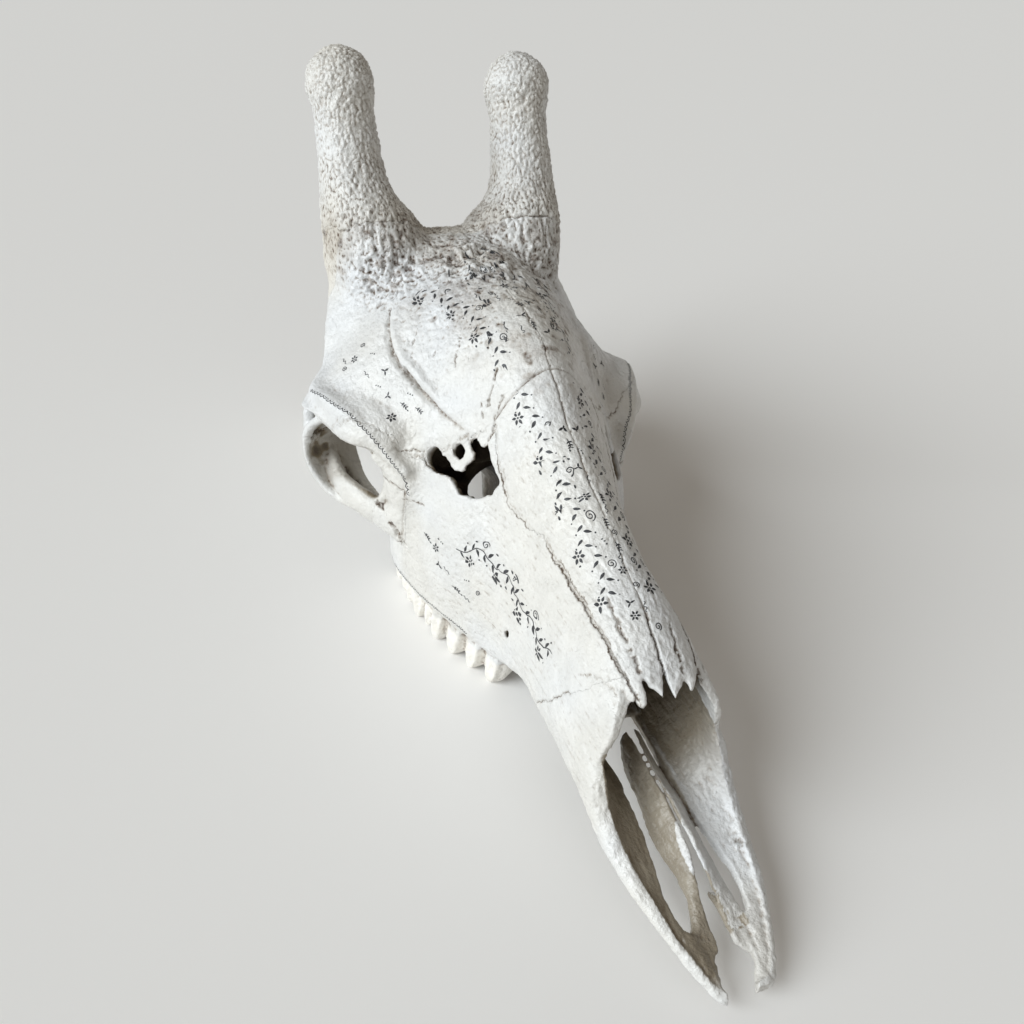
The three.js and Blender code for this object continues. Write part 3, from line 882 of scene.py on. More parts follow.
def fractal(points, octaves, seed):
    return sum(smooth_noise(points * 2 ** n + 17.3 * n, seed + n) * 0.5 ** n for n in range(octaves))


def cells(points, seed):
    """Distance to the nearest of scattered points, about one to each unit of space."""
    base = np.floor(points).astype(np.int64)
    nearest = np.full(len(points), 9.0)
    for offset in np.ndindex(3, 3, 3):
        there = base + offset - 1
        seeds = np.stack([scattered(*there.T, seed + n) for n in range(3)], 1) * 0.42 + 0.5
        nearest = np.minimum(nearest, np.sum((there + seeds - points) ** 2, axis=1))
    return np.sqrt(nearest)


def fade(values, start, end):
    """0 before start, 1 after end and smooth between them; start may be the larger."""
    t = np.clip((values - start) / (end - start), 0, 1)
    return t * t * (3 - 2 * t)


# Relief of the bone

FAR = 99.0

# Cracks that lie inside a bone: on both sides or on one alone, depth, half width and places
CRACKS = [
    ("both", 1.6, 1.0, [
        (-98, 377, 128), (-90, 371, 130), (-82, 365, 134), (-74, 358, 138), (-66, 350, 142),
    ]),
    ("both", 1.0, 0.8, [(-84, 349, 105), (-75, 340, 107), (-67, 330, 109), (-58, 324, 126)]),
    ("both", 3.0, 1.9, [(-97, 377, 90), (-89, 369, 83), (-87, 352, 76), (-82, 344, 67)]),
    ("right", 1.2, 0.7, [(-59, 412, 201), (-67, 396, 184)]),
    ("right", 1.0, 0.6, [(-53, 389, 197), (-59, 383, 186)]),
    ("right", 1.3, 0.7, [(-39, 381, 210), (-46, 369, 196)]),
    ("both", 1.0, 0.6, [(-27, 363, 216), (-28, 357, 212)]),
    ("right", 1.8, 0.8, [(-28, 342, 206), (-33, 336, 195), (-37, 332, 184)]),
    ("right", 1.4, 0.7, [(-38, 339, 188), (-40, 330, 178)]),
    ("both", 1.4, 0.8, [(-29, 327, 195), (-33, 324, 185), (-36, 319, 175), (-41, 317, 164)]),
    ("both", 1.6, 1.2, [(-67, 447, 200), (-74, 428, 192), (-76, 412, 185), (-75, 402, 180)]),
    ("both", 2.4, 1.8, [(-72, 396, 178), (-69, 388, 176), (-67, 379, 174)]),
    ("both", 1.4, 0.9, [(-67, 379, 174), (-63, 370, 171), (-58, 358, 167)]),
    ("right", 2.0, 1.2, [(-46, 470, 220), (-51, 468, 216), (-52, 464, 214)]),
    ("right", 1.8, 1.1, [(-15.6, 138, 122), (-16.6, 150, 128), (-17.6, 166, 135), (-17, 184, 142)]),
    ("left", 1.5, 1.0, [(10, 134, 121), (10.8, 146, 128), (12, 162, 135)]),
    ("both", 0.8, 0.8, [(-30, 137, 112), (-33, 148, 112), (-36, 156, 111), (-38, 163, 104)]),
    ("right", 2.6, 1.8, [(-127, 431, 113), (-120, 436, 112), (-112, 443, 112), (-104, 449, 113)]),
    ("left", 1.6, 1.0, [(127, 431, 116), (118, 438, 114), (108, 446, 112)]),
    ("both", 2.0, 1.2, [(-101, 430, 80), (-96, 418, 76), (-92, 402, 72), (-90, 388, 76), (-92, 376, 86)]),
]
# Groove from the foot of the ossicone through a pit above the orbit to the face: places and depths
GROOVE = [
    (67, 447, 200), (74, 428, 192), (76, 412, 185), (75, 402, 181), (70, 392, 178), (67, 379, 174),
    (63, 370, 171), (58, 358, 167), (52, 343, 165), (44, 326, 163),
]
GROOVE_DEPTH = [0.8, 3.0, 4.5, 5.5, 7.0, 4.6, 3.4, 2.4, 1.2, 0]
# Rough patches: place, radius, height and grain
ROUGH = [
    ((36, 71, 29), 10, 2.4, 2.8),
    ((0, 452, 232), 46, 3.0, 8.0),
    ((-62, 470, 214), 34, 2.4, 6.0),
    ((66, 470, 212), 34, 2.4, 6.0),
    ((-126, 438, 112), 14, 1.2, 3.5),
]


def on_left(points):
    """Places mirrored to the left side of the skull."""
    x, y, z = points.T
    return np.stack([np.abs(x), y, z], 1)


def around(points, line, reach):
    """Which points lie in the box of a line, widened by a reach."""
    return ((points > line.min(0) - reach) & (points < line.max(0) + reach)).all(1)


def from_segment(points, start, end):
    """Share of the way along a segment and offset from it, for each point."""
    span = end - start
    t = np.clip((points - start) @ span / (span @ span), 0, 1)
    return t, points - start - t[:, None] * span


def line_distance(points, line):
    """Distance from each point to a chain of places, or FAR outside their widened box."""
    reach = 12
    best = np.full(len(points), FAR)
    line = np.array(line, float)
    close = around(points, line, reach)
    part = points[close]
    found = np.full(len(part), FAR)
    for start, end in zip(line[:-1], line[1:]):
        _, offset = from_segment(part, start, end)
        found = np.minimum(found, np.linalg.norm(offset, axis=1))
    best[close] = found
    return best


def brow_groove(points):
    """Depth of the groove above the orbit, steep on its inner side with a raised lip beyond."""
    left = on_left(points)
    line = np.array(GROOVE, float)
    lateral = np.array([0.72, 0.35, -0.6])
    reach = 26
    chosen = around(left, line, reach)
    part = left[chosen]
    best = np.full(len(part), FAR)
    side = np.zeros(len(part))
    depth = np.zeros(len(part))
    for start, end, first, last in zip(line[:-1], line[1:], GROOVE_DEPTH[:-1], GROOVE_DEPTH[1:]):
        t, offset = from_segment(part, start, end)
        away = np.linalg.norm(offset, axis=1)
        nearer = away < best
        best = np.where(nearer, away, best)
        side = np.where(nearer, offset @ lateral, side)
        depth = np.where(nearer, first + t * (last - first), depth)
    best = best + 0.5 * smooth_noise(part / 4, 51)
    outer = np.clip(1 - best / 17, 0, 1) ** 2 * 0.55 + 0.45 * fade(best, 4.5, 0.5)
    inner = fade(best, 2.6, 0.4) - 0.42 * np.exp(-((best - 5.5) / 3.2) ** 2)
    blend = fade(side, -1.2, 1.2)
    result = np.zeros(len(points))
    result[chosen] = depth * (outer * blend + inner * (1 - blend))
    return result


def cracks(points):
    """How deep the cracks are, in millimetres."""
    deep = np.zeros(len(points))
    for sides, depth, width, line in CRACKS:
        twin = np.array(line, float) * [-1, 1, 1]
        for places in [line, twin] if sides == "both" else [line]:
            close = np.flatnonzero(line_distance(points, places) < width + 4)
            part = points[close]
            jag = np.stack([fractal(part / 3.2, 2, seed) for seed in (21, 22, 23)], 1)
            away = line_distance(part + jag * 1.4, places)
            deep[close] = np.maximum(deep[close], depth * fade(away, width * 1.5, width * 0.4))
    gap_depth = 2.8
    x, y, z = points.T
    middle, outer = nasal_edges(y)
    on_nasals = z > nasal_bottom(y) + 8
    side_gap = fade(np.abs(np.abs(x) - outer), 0.85, 0.2) * fade(y, 250, 215) * on_nasals
    middle_gap = fade(np.abs(x - middle), 0.9, 0.2) * fade(y, 185, 150) * on_nasals
    deep = np.max([deep, gap_depth * side_gap, gap_depth * middle_gap], axis=0)
    seam = seam_distance(points)
    worn = 0.5 + 0.5 * smooth_noise(points / 14, 31)
    seam_depth = 0.35 + 1.0 * worn
    return np.maximum(deep, seam_depth * fade(seam, 0.5 + 0.9 * worn, 0.1))


def ossicone_place(points):
    """Place on the nearer ossicone: across it twice, and the distance down from the knob."""
    left = on_left(points) - KNOB
    down = -(left @ OSSICONE_LEAN)
    side = np.cross(OSSICONE_LEAN, (1, 0, 0))
    side /= np.linalg.norm(side)
    return left @ np.cross(side, OSSICONE_LEAN), left @ side, down


def pebble_relief(points):
    """Grains that cover the ossicones, longer and coarser towards the foot; 0 at their tops."""
    level = profile((-30, 0), (0, 9), (60, 23.5), (110, 33), (190, 44))
    across, along_side, down = ossicone_place(points)
    spot = np.stack([across / 2.9 + np.sign(points[:, 0]) * 40, along_side / 2.9, level(down)], 1)
    spot += 0.35 * np.stack([smooth_noise(points / 5, seed) for seed in (41, 42, 43)], 1)
    return -fade(cells(spot, 5), 0.22, 0.7)


def horn_relief(points):
    return 0.95 * pebble_relief(points) + 0.5 * smooth_noise(points / 8, 6)


def foot_relief(points):
    """Bark-like bone at the foot of an ossicone."""
    across, along_side, down = ossicone_place(points)
    rough = np.stack([across / 6, along_side / 6, down / 11], 1)
    return 1.5 * (0.35 - np.abs(fractal(rough, 3, 8)))


def forehead_relief(points):
    return 0.42 * fractal(points / 3.4, 2, 10) + 0.5 * (0.3 - np.abs(smooth_noise(points / 9, 11)))


def fibre_relief(points):
    """Fibres that run along the nose and the muzzle."""
    x, y, z = points.T
    return 0.3 * fractal(np.stack([x / 1.9, (y - 0.4 * z) / 17, z / 1.9], 1), 2, 12)


def relief(points, normals):
    """Height of the fine forms over the smooth skull."""
    _, y, z = points.T
    _, _, down = ossicone_place(points)
    on_horn = fade(down, 128, 96) * fade(z, 196, 214)
    at_foot = fade(down, 78, 104) * fade(down, 165, 135) * fade(z, 185, 205)
    forehead = fade(y, 330, 380) * fade(z, 168, 200) * (1 - on_horn) * fade(y, 560, 530)
    upward = fade(normals[:, 2], -0.1, 0.35)
    tooth = is_tooth(points)

    high = 0.7 * smooth_noise(points / 30, 1) + 0.35 * smooth_noise(points / 13, 2)
    high = high * (1 - tooth) * fade(y, 6, 40)
    high += (1 - tooth) * 0.26 * fractal(points / 3.2, 2, 3)
    for weight, form in [
        (on_horn, horn_relief), (at_foot, foot_relief), (forehead * upward, forehead_relief),
        (fade(y, 340, 290) * (1 - tooth), fibre_relief),
    ]:
        chosen = np.flatnonzero(weight > 0.01)
        high[chosen] += weight[chosen] * form(points[chosen])
    high -= brow_groove(points)
    for centre, radius, height, grain in ROUGH:
        away = np.linalg.norm(points - centre, axis=1)
        chosen = np.flatnonzero(away < radius)
        lumps = fractal(points[chosen] / grain, 3, 14)
        high[chosen] += fade(away[chosen], radius, radius * 0.4) * height * lumps
    high += tooth * 0.35 * fractal(points / 5, 3, 16)
    return high - cracks(points)


def is_tooth(points):
    x, y, z = points.T
    out = np.abs(x)
    return fade(z, 25, 22) * (out > 18) * (out < 80) * (y > 248) * (y < 394)


def carve(piece):
    """Gives a piece its relief, and keeps it inside the box of the model."""
    points, _, normals = arrays(piece)
    points += normals * relief(points, normals)[:, None]
    low, high = np.array(cad_box) / MM - [0, MUZZLE_TIP_Y / MM, 0]
    write_points(piece, np.clip(points, low, high))


# Seams between the bones

def wave(s):
    """How far a seam wanders to a side at a distance along it; odd, so that both sides agree."""
    swings = [(0.8, 0.19), (0.5, 0.47), (0.35, 1.13), (0.22, 2.1)]
    return sum(size * np.sin(pace * s) for size, pace in swings)


class Seam:
    """Surface that parts two bones: a point, the way it faces and the line that it is drawn along."""

    def __init__(self, point, facing, line=(0, 0, 1), swing=1.0):
        self.point = np.array(point, float)
        self.facing = np.array(facing, float) / np.linalg.norm(facing)
        self.line = np.array(line, float)
        self.sideways = np.cross(self.line, self.facing)
        self.swing = swing

    def mirrored(self):
        return Seam(self.point * [-1, 1, 1], self.facing * [-1, 1, 1], self.line, self.swing)

    def beyond(self, points):
        """Distance in front of the seam."""
        away = points - self.point
        return away @ self.facing - self.swing * wave(away @ self.sideways)

    def space(self, grown):
        """All of space in front of the seam, moved back by a distance."""
        reach = 1300
        s = np.arange(-336, 337, 1.5)
        edge = np.stack([s, self.swing * wave(s) - grown], 1)
        far = [(reach, -grown), (reach, reach), (-reach, reach), (-reach, -grown)]
        block = prism(np.concatenate([edge, far]), -reach, reach)
        return stand(block, self.sideways, self.facing, self.line, self.point)


MIDLINE = Seam((0, 0, 0), (1, 0, 0))
BROW_LEVEL = 112
OSSICONE_FOOT = Seam(KNOB - OSSICONE_LEAN * 104, OSSICONE_LEAN, (1, 0, 0), 2.6)
MUZZLE_BACK = Seam((0, 152, 105), (0, -0.806, -0.591), (1, 0, 0))
CHEEK_FRONT = Seam((83, 0, 0), (1, 0, 0))
CHEEK_TOP = Seam((0, 0, BROW_LEVEL), (0, 0, -1), (1, 0, 0))
CHEEK_BACK = Seam((90, 515, 0), (0.4, -0.92, 0))
FOREHEAD_BOTTOM = Seam((0, 0, BROW_LEVEL), (0, 0, 1), (1, 0, 0))
FOREHEAD_FRONT = Seam((34, 318, 0), (-0.68, 0.73, 0))
FOREHEAD_BACK = Seam((0, 500, 0), (0, -1, 0))
JAW_BACK = Seam((0, 402, 0), (0, -1, 0))
OCCIPUT_FRONT = Seam((0, 574, 0), (0, 1, 0))
NASAL_END = 322

nasal_middle = profile((100, -1), (125, -1.9), (140, -2), (165, -1), (190, 0), (322, 0))
nasal_bottom = profile((100, 88), (205, 96), (280, 130), (322, 180))

# Spaces of the paired bones on the left, in the order in which they are taken from the whole
CELLS = {
    "nasal": None,
    "ossicone": [MIDLINE, OSSICONE_FOOT],
    "premaxilla": [MIDLINE, MUZZLE_BACK],
    "jugal": [CHEEK_FRONT, CHEEK_TOP, CHEEK_BACK],
    "frontal": [MIDLINE, FOREHEAD_BOTTOM, FOREHEAD_FRONT, FOREHEAD_BACK],
    "maxilla": [MIDLINE, JAW_BACK],
}


def nasal_edges(y):
    """Where the nasal bones meet each other and where they meet the upper jaws."""
    return nasal_middle(y) + wave(y) * 0.35, nasal_half_width(y) + wave(y * 1.3 + 40) * 0.45


def nasal_space(side, grown):
    top = 300
    rings = []
    for y in stations(100, NASAL_END + grown, 1.0):
        middle, outer = nasal_edges(y)
        near_x = middle - side * grown
        far_x = side * (outer + grown)
        floor = nasal_bottom(y) - grown
        rings.append([(near_x, y, top), (far_x, y, top), (far_x, y, floor), (near_x, y, floor)])
    return skin(rings)


def seams_of(name, side):
    return CELLS[name] if side > 0 else [seam.mirrored() for seam in CELLS[name]]


def space_of(name, side, grown):
    """Space of a bone on one side, larger or smaller all round by a distance."""
    if name == "nasal":
        return nasal_space(side, grown)
    return combine("INTERSECT", *[seam.space(grown) for seam in seams_of(name, side)])


def share_within(name, side, points):
    """Share of the points that lies in the space of a bone."""
    if name == "nasal":
        middle, outer = nasal_edges(points[:, 1])
        across = points[:, 0] * side
        within = (across > side * middle) & (across < outer) & (points[:, 1] < NASAL_END)
        return (within & (points[:, 2] > nasal_bottom(points[:, 1]))).mean()
    return np.all([seam.beyond(points) > 0 for seam in seams_of(name, side)], axis=0).mean()


def seam_distance(points):
    """Distance to the nearest seam that shows on the outside of the skull."""
    x, y, z = points.T
    out = np.abs(x)
    left = on_left(points)
    middle, outer = nasal_edges(y)
    on_nasals = (y < NASAL_END + 2) & (z > nasal_bottom(y))
    shown = [
        (x - middle, on_nasals),
        (out - outer, on_nasals),
        (y - NASAL_END, (out < 36) & (z > 150)),
        (MIDLINE.beyond(points), (y > NASAL_END) & (y < 470) & (z > 150)),
        (OSSICONE_FOOT.beyond(left), (y > 440) & (z > 190)),
        (MUZZLE_BACK.beyond(left), (y < 200) & ~on_nasals),
        (CHEEK_FRONT.beyond(left), (z < BROW_LEVEL) & (y > 330) & (y < 400)),
        (CHEEK_TOP.beyond(left), out > 83),
        (FOREHEAD_FRONT.beyond(left), (z > BROW_LEVEL) & (y > NASAL_END) & (y < 400)),
        (OCCIPUT_FRONT.beyond(points), z > 70),
    ]
    return np.min([np.where(mask, np.abs(distance), FAR) for distance, mask in shown], axis=0)


def part_labels(count, edges):
    """For each vertex, the lowest vertex of the connected part that it is in."""
    label = np.arange(count)
    while True:
        lowest = label.copy()
        joint = np.minimum(label[edges[:, 0]], label[edges[:, 1]])
        np.minimum.at(lowest, label[edges[:, 0]], joint)
        np.minimum.at(lowest, label[edges[:, 1]], joint)
        lowest = lowest[lowest]
        if (lowest == label).all():
            return label
        label = lowest


def seam_walls():
    """Thin walls along all the seams, as one body."""
    walls = combine("DIFFERENCE", OCCIPUT_FRONT.space(SUTURE / 2), OCCIPUT_FRONT.space(-SUTURE / 2))
    for name in reversed(CELLS):
        combine("DIFFERENCE", walls, space_of(name, 1, 0), space_of(name, -1, 0))
        for side in (1, -1):
            outer = space_of(name, side, SUTURE / 2)
            combine("UNION", walls, combine("DIFFERENCE", outer, space_of(name, side, -SUTURE / 2)))
    return walls


def bone_name(points):
    """Name of the bone whose space holds most of the points."""
    for name in CELLS:
        for side, ending in ((1, "_left"), (-1, "_right")):
            if share_within(name, side, points) > 0.5:
                return name + ending
    return "occiput" if (OCCIPUT_FRONT.beyond(points) > 0).mean() > 0.5 else "cranium"


def bones(whole):
    """Parts the whole skull, which is used up, into its bones by the names of their nodes."""
    largest = 60  # parts looked at, of which the smallest are crumbs
    combine("DIFFERENCE", whole, seam_walls())
    mesh = whole.data
    points, edges, _ = arrays(whole)
    mesh.calc_loop_triangles()
    corners = read(mesh.loop_triangles, "vertices", 3, int)
    label = part_labels(len(points), edges)
    labels, sizes = np.unique(label, return_counts=True)
    made = {}
    for main in labels[np.argsort(-sizes)][:largest]:
        chosen = np.flatnonzero(label == main)
        name = bone_name(points[chosen])
        if name in made:
            continue
        number = np.full(len(points), -1)
        number[chosen] = np.arange(len(chosen))
        faces = number[corners[label[corners[:, 0]] == main]]
        made[name] = mesh_object("bone", points[chosen], faces)
    bpy.data.objects.remove(whole)
    return made


# Wear and painted shade: how dirty each place is, how dark in its hollows, how enclosed, and where shade is
# painted in

LOOK_OUT = 5  # distance before the bone at which openness is compared


def surface_of(piece):
    """Search tree over the faces of a piece."""
    work = bmesh.new()
    work.from_mesh(piece.data)
    tree = BVHTree.FromBMesh(work)
    work.free()
    return tree


def openness(piece):
    """How much of the space before each place is open, from rays cast on a coarse copy."""
    coarse_voxel = 3.6
    count = 26  # rays all round
    reach = 130
    coarse = duplicate(piece)
    remesh(coarse, coarse_voxel)
    points, _, normals = arrays(coarse)
    tree = surface_of(coarse)
    bpy.data.objects.remove(coarse)
    turn = np.arange(count) * np.pi * (3 - math.sqrt(5))
    rise = 1 - (np.arange(count) + 0.5) * 2 / count
    level = np.sqrt(1 - rise ** 2)
    directions = [Vector(d) for d in np.stack([level * np.cos(turn), level * np.sin(turn), rise], 1)]
    values = np.empty(len(points))
    finder = KDTree(len(points))
    for i, (point, normal) in enumerate(zip(points, normals)):
        start = Vector(point + normal * 1.5)
        facing = Vector(normal)
        seen = 0
        total = 0
        for direction in directions:
            weight = direction.dot(facing)
            if weight > 0.15:
                total += weight
                if tree.ray_cast(start, direction, reach)[0] is None:
                    seen += weight
        values[i] = seen / total
        finder.insert(point + normal * LOOK_OUT, i)
    finder.balance()
    return finder, values


def enclosed(points, normals, lookup):
    finder, values = lookup
    places = points + normals * LOOK_OUT
    return np.array([1 - values[finder.find(place)[1]] for place in places])[:, None]


def trough_soiling_and_shade(points, normals):
    """Brown soiling and painted shade on the inner sides of the muzzle: to its tip on the right, where the
    inner faces and the bar lie in shade away from the key light, and only deep on the left.
    """
    x, y, z = points.T
    out = np.abs(x)
    within = (out < trough_top_half_width(y) + 0.5) & (y < 200) & (z < muzzle_top(y) - 1)
    toward = -np.sign(x) * normals[:, 0]
    begins = np.clip((y - 1) / 12, 0, 1)
    deep = np.clip((y - 84) / 52, 0, 1)
    # Right side: painted shade on the inner faces, turned from the key light, from the tip back
    right = fade(toward, -0.5, 0.0) * begins
    left = np.maximum(fade(toward, -0.1, 0.5) * deep, 0.32 * fade(y, 66, 30))
    bars = (out < 17.5) & (y > 30)
    # Bars: painted shade over the right bar, in the shade of the right wall; the lit left bar only lightly
    # browned, more towards the back
    outer_face = np.where(x < 0, 0.95, np.clip((y - 96) / 60, 0.1, 0.75))
    bar_film_and_shade = np.where(toward > 0.2, 0.95, outer_face)
    film_and_shade = np.where(bars, bar_film_and_shade * begins, np.where(x < 0, right, left))
    return np.clip(film_and_shade * within, 0, 1)


def orbit_depth_tint(points):
    """Grey-brown that grows deeper into the orbits, most on the inner face of the bar."""
    left = on_left(points) - ORBIT_CENTRE
    depth = -(left @ ORBIT_FACING)
    across = np.linalg.norm(left + depth[:, None] * ORBIT_FACING, axis=1)
    edge = 35.5 - 0.1 * depth + 1.2 * smooth_noise(points / 6, 71)
    return fade(depth, -1, 5) * fade(depth, 75, 60) * fade(across, edge + 1.5, edge - 1.5)


def wear(bone, lookup):
    """Stores for each vertex its soiling and darkness in hollows, its brown soiling and painted shade, how
    enclosed it is and how tooth-like.
    """
    points, edges, normals = arrays(bone)
    fine = np.einsum("ij,ij->i", smoothed(points, edges, 3) - points, normals)
    broad = np.einsum("ij,ij->i", smoothed(points, edges, 24) - points, normals)
    # How enclosed each place is; the paint uses it for painted shade, brown to near-black, in enclosed
    # places
    shut = enclosed(points, normals, lookup)
    for _ in range(8):
        shut = averaged(shut, edges, len(shut))
    # Brown soiling and painted shade in the muzzle, and grey-brown deep in the orbits
    stain = np.clip(trough_soiling_and_shade(points, normals) + 0.55 * orbit_depth_tint(points), 0, 1)
    shut = shut[:, 0] * (1 - stain) * (1 - 0.7 * fade(points[:, 1], 165, 115))
    deep = cracks(points)
    _, _, down = ossicone_place(points)
    foot = fade(down, 40, 100) * fade(points[:, 2], 195, 215)
    horn = fade(down, 150, 110) * fade(points[:, 2], 196, 214)
    pits = 0.35 + 0.3 * horn + 0.35 * foot
    # Darker in fine pits, broad hollows and the brow groove; brown in cracks and at the feet of the
    # ossicones
    dirt = pits * fade(fine, 0.04, 0.22) + 0.5 * fade(broad, 0.15, 0.9)
    dirt += 1.0 * fade(deep, 0.4, 1.1) + 0.35 * foot * fade(smooth_noise(points / 15, 61), -0.2, 0.7)
    dirt += 0.7 * foot * fade(smooth_noise(points / 6, 62), 0.3, 0.75) * fade(down, 88, 108)
    dirt += 0.6 * fade(brow_groove(points), 2.2, 5)
    values = {
        "dirt": np.clip(dirt, 0, 1),
        "stain": stain,
        "enclosed": shut,
        "tooth": is_tooth(points),
    }
    for name, value in values.items():
        layer = bone.data.attributes.new(name, "FLOAT", "POINT")
        layer.data.foreach_set("value", value.astype(np.float32))


# Ink: a pattern of sprigs, flowers, scallops, waves and dots, laid on the bone as thin dark shapes

INK_LIFT = 0.12


def lengths_to(points):
    """Distance along a chain of places to each of them."""
    return np.concatenate([[0], np.cumsum(np.linalg.norm(np.diff(points, axis=0), axis=1))])


class Trail:
    """Line on the skull along which ink is laid, with its places a millimetre apart."""

    def __init__(self, tree, stops):
        step = 1.0
        lengths = lengths_to(stops)
        self.length = lengths[-1]
        self.at = np.arange(0, self.length + step, step)
        line = np.stack([np.interp(self.at, lengths, stops[:, axis]) for axis in range(3)], 1)
        line = self.evened(line, 9)
        found = [tree.find_nearest(Vector(point)) for point in line]
        self.points = self.evened(np.array([hit[0] for hit in found]), 2)
        facing = self.evened(np.array([hit[1] for hit in found]), 14)
        self.facing = facing / np.linalg.norm(facing, axis=1)[:, None]
        ahead = np.gradient(self.points, axis=0)
        self.across = np.cross(self.facing, ahead)
        self.across /= np.linalg.norm(self.across, axis=1)[:, None]
        self.tree = tree

    @staticmethod
    def evened(rows, rounds):
        for _ in range(rounds):
            rows = rows.copy()
            rows[1:-1] = (rows[:-2] + rows[1:-1] + rows[2:]) / 3
        return rows

    def spot(self, s, t):
        """Place on the bone at a distance along the trail and a distance to its side."""
        point, facing, across = (
            np.array([np.interp(s, self.at, values[:, axis]) for axis in range(3)])
            for values in (self.points, self.facing, self.across)
        )
        lift = 7
        reach = 16
        start = Vector(point + across * t + facing * lift)
        hit = self.tree.ray_cast(start, Vector(-facing), reach)[0]
        return None if hit is None else np.array(hit) + facing * INK_LIFT


def line_mark(points, width):
    """Stroke through places in the plane of the trail, as its middle line and half widths."""
    points = np.array(points, float)
    lengths = lengths_to(points)
    count = max(4, int(lengths[-1] / 0.8) + 1)
    at = np.linspace(0, lengths[-1], count)
    middle = np.stack([np.interp(at, lengths, points[:, axis]) for axis in (0, 1)], 1)
    ends = np.minimum(1, np.minimum(at, lengths[-1] - at) / 0.5 + 0.35)
    return middle, width / 2 * ends


def leaf_mark(base, angle, length, width):
    at = np.linspace(0, 1, 9)
    middle = np.array(base) + length * np.stack([np.cos(angle) * at, np.sin(angle) * at], 1)
    return middle, width / 2 * np.sin(np.pi * at ** 0.8) + 0.05


def dot_mark(place, radius):
    at = np.linspace(-1, 1, 7)
    middle = np.array(place) + np.stack([radius * at, 0 * at], 1)
    return middle, radius * np.sqrt(np.clip(1 - at ** 2, 0, 1)) + 0.03


def arch_mark(s, radius, side):
    angles = np.radians(np.linspace(0, 180 * side, 12))
    return line_mark(np.stack([s + radius * np.cos(angles), radius * np.sin(angles)], 1), 0.55)


def flower(s, t, radius):
    marks = []
    for angle in np.radians(np.arange(6) * 60 + 12):
        base = (s + 0.3 * radius * math.cos(angle), t + 0.3 * radius * math.sin(angle))
        marks.append(leaf_mark(base, angle, radius * 0.75, radius * 0.42))
    return marks + [dot_mark((s, t), radius * 0.17)]


def spiral(s, t, radius, side):
    angles = np.linspace(0, 3.3 * np.pi, 34)
    size = radius * (1 - angles / (3.9 * np.pi))
    return [line_mark(np.stack([s + size * np.cos(angles), t + side * size * np.sin(angles)], 1), 0.6)]


def sprig(s, t, length):
    """Short stem with pairs of leaves."""
    marks = [line_mark([(s, t), (s + length * 0.5, t + length * 0.12), (s + length, t)], 0.55)]
    for share in (0.25, 0.5, 0.75):
        for turn in (0.9, -0.9):
            place = (s + length * share, t + length * 0.1)
            marks.append(leaf_mark(place, turn, length * 0.26, length * 0.11))
    marks.append(leaf_mark((s + length, t), 0, length * 0.24, length * 0.11))
    return marks


def garland(length, swing, pitch):
    """Waving stem with leaves on both sides, flowers and dots."""
    s = np.arange(0, length, 1.0)
    marks = [line_mark(np.stack([s, swing * np.sin(s * 2 * np.pi / pitch)], 1), 0.65)]
    for number, place in enumerate(np.arange(pitch * 0.12, length - 4, pitch * 0.125)):
        t = swing * math.sin(place * 2 * math.pi / pitch)
        side = 1 if number % 2 else -1
        if number % 8 == 2:
            marks += flower(place, t + side * 6.5, 4.2)
            marks.append(dot_mark((place + 5.2, t + side * 8), 0.7))
        elif number % 8 == 5:
            marks += spiral(place + 1, t + side * 5, 3, side)
        else:
            marks.append(leaf_mark((place, t + side * 0.5), side * 1.0, 5.2, 1.9))
            marks.append(dot_mark((place + 4, t + side * 6.4), 0.55))
    return marks


def scallops(length, side, size=4.4):
    """Row of small arches with a dot in each."""
    marks = []
    for s in np.arange(size / 2, length - size / 2, size):
        marks.append(arch_mark(s, size / 2, side))
        marks.append(dot_mark((s, side * size * 0.18), 0.42))
    return marks


def scatter(length, half, count, seed):
    """Small marks spread over a strip: dots, leaves, short waves and flowers."""
    draw = np.random.default_rng(seed)
    apart = 7.2
    marks = []
    taken = []
    while len(taken) < count:
        s, t = draw.uniform(2, length - 2), draw.uniform(-half, half)
        if any(math.hypot(s - a, t - b) < apart for a, b in taken):
            if draw.uniform() < 0.02:
                taken.append((s, t))
            continue
        taken.append((s, t))
        kind = len(taken) % 6
        if kind == 0:
            marks += flower(s, t, draw.uniform(2.4, 3.4))
        elif kind == 1:
            marks += [dot_mark((s + d, t + 0.4 * d), 0.5) for d in (-1.8, 0, 1.8)]
        elif kind == 2:
            at = np.linspace(0, 7, 15)
            marks.append(line_mark(np.stack([s + at - 3.5, t + 0.8 * np.sin(at * 1.8)], 1), 0.55))
        elif kind == 3:
            marks += sprig(s - 3.5, t, 7.5)
        elif kind == 4:
            angle = draw.uniform(0, 6.28)
            marks += [leaf_mark((s, t), angle + turn, 3.2, 1.2) for turn in (0, 2.1, 4.2)]
        else:
            marks += spiral(s, t, 2.2, 1)
    return marks


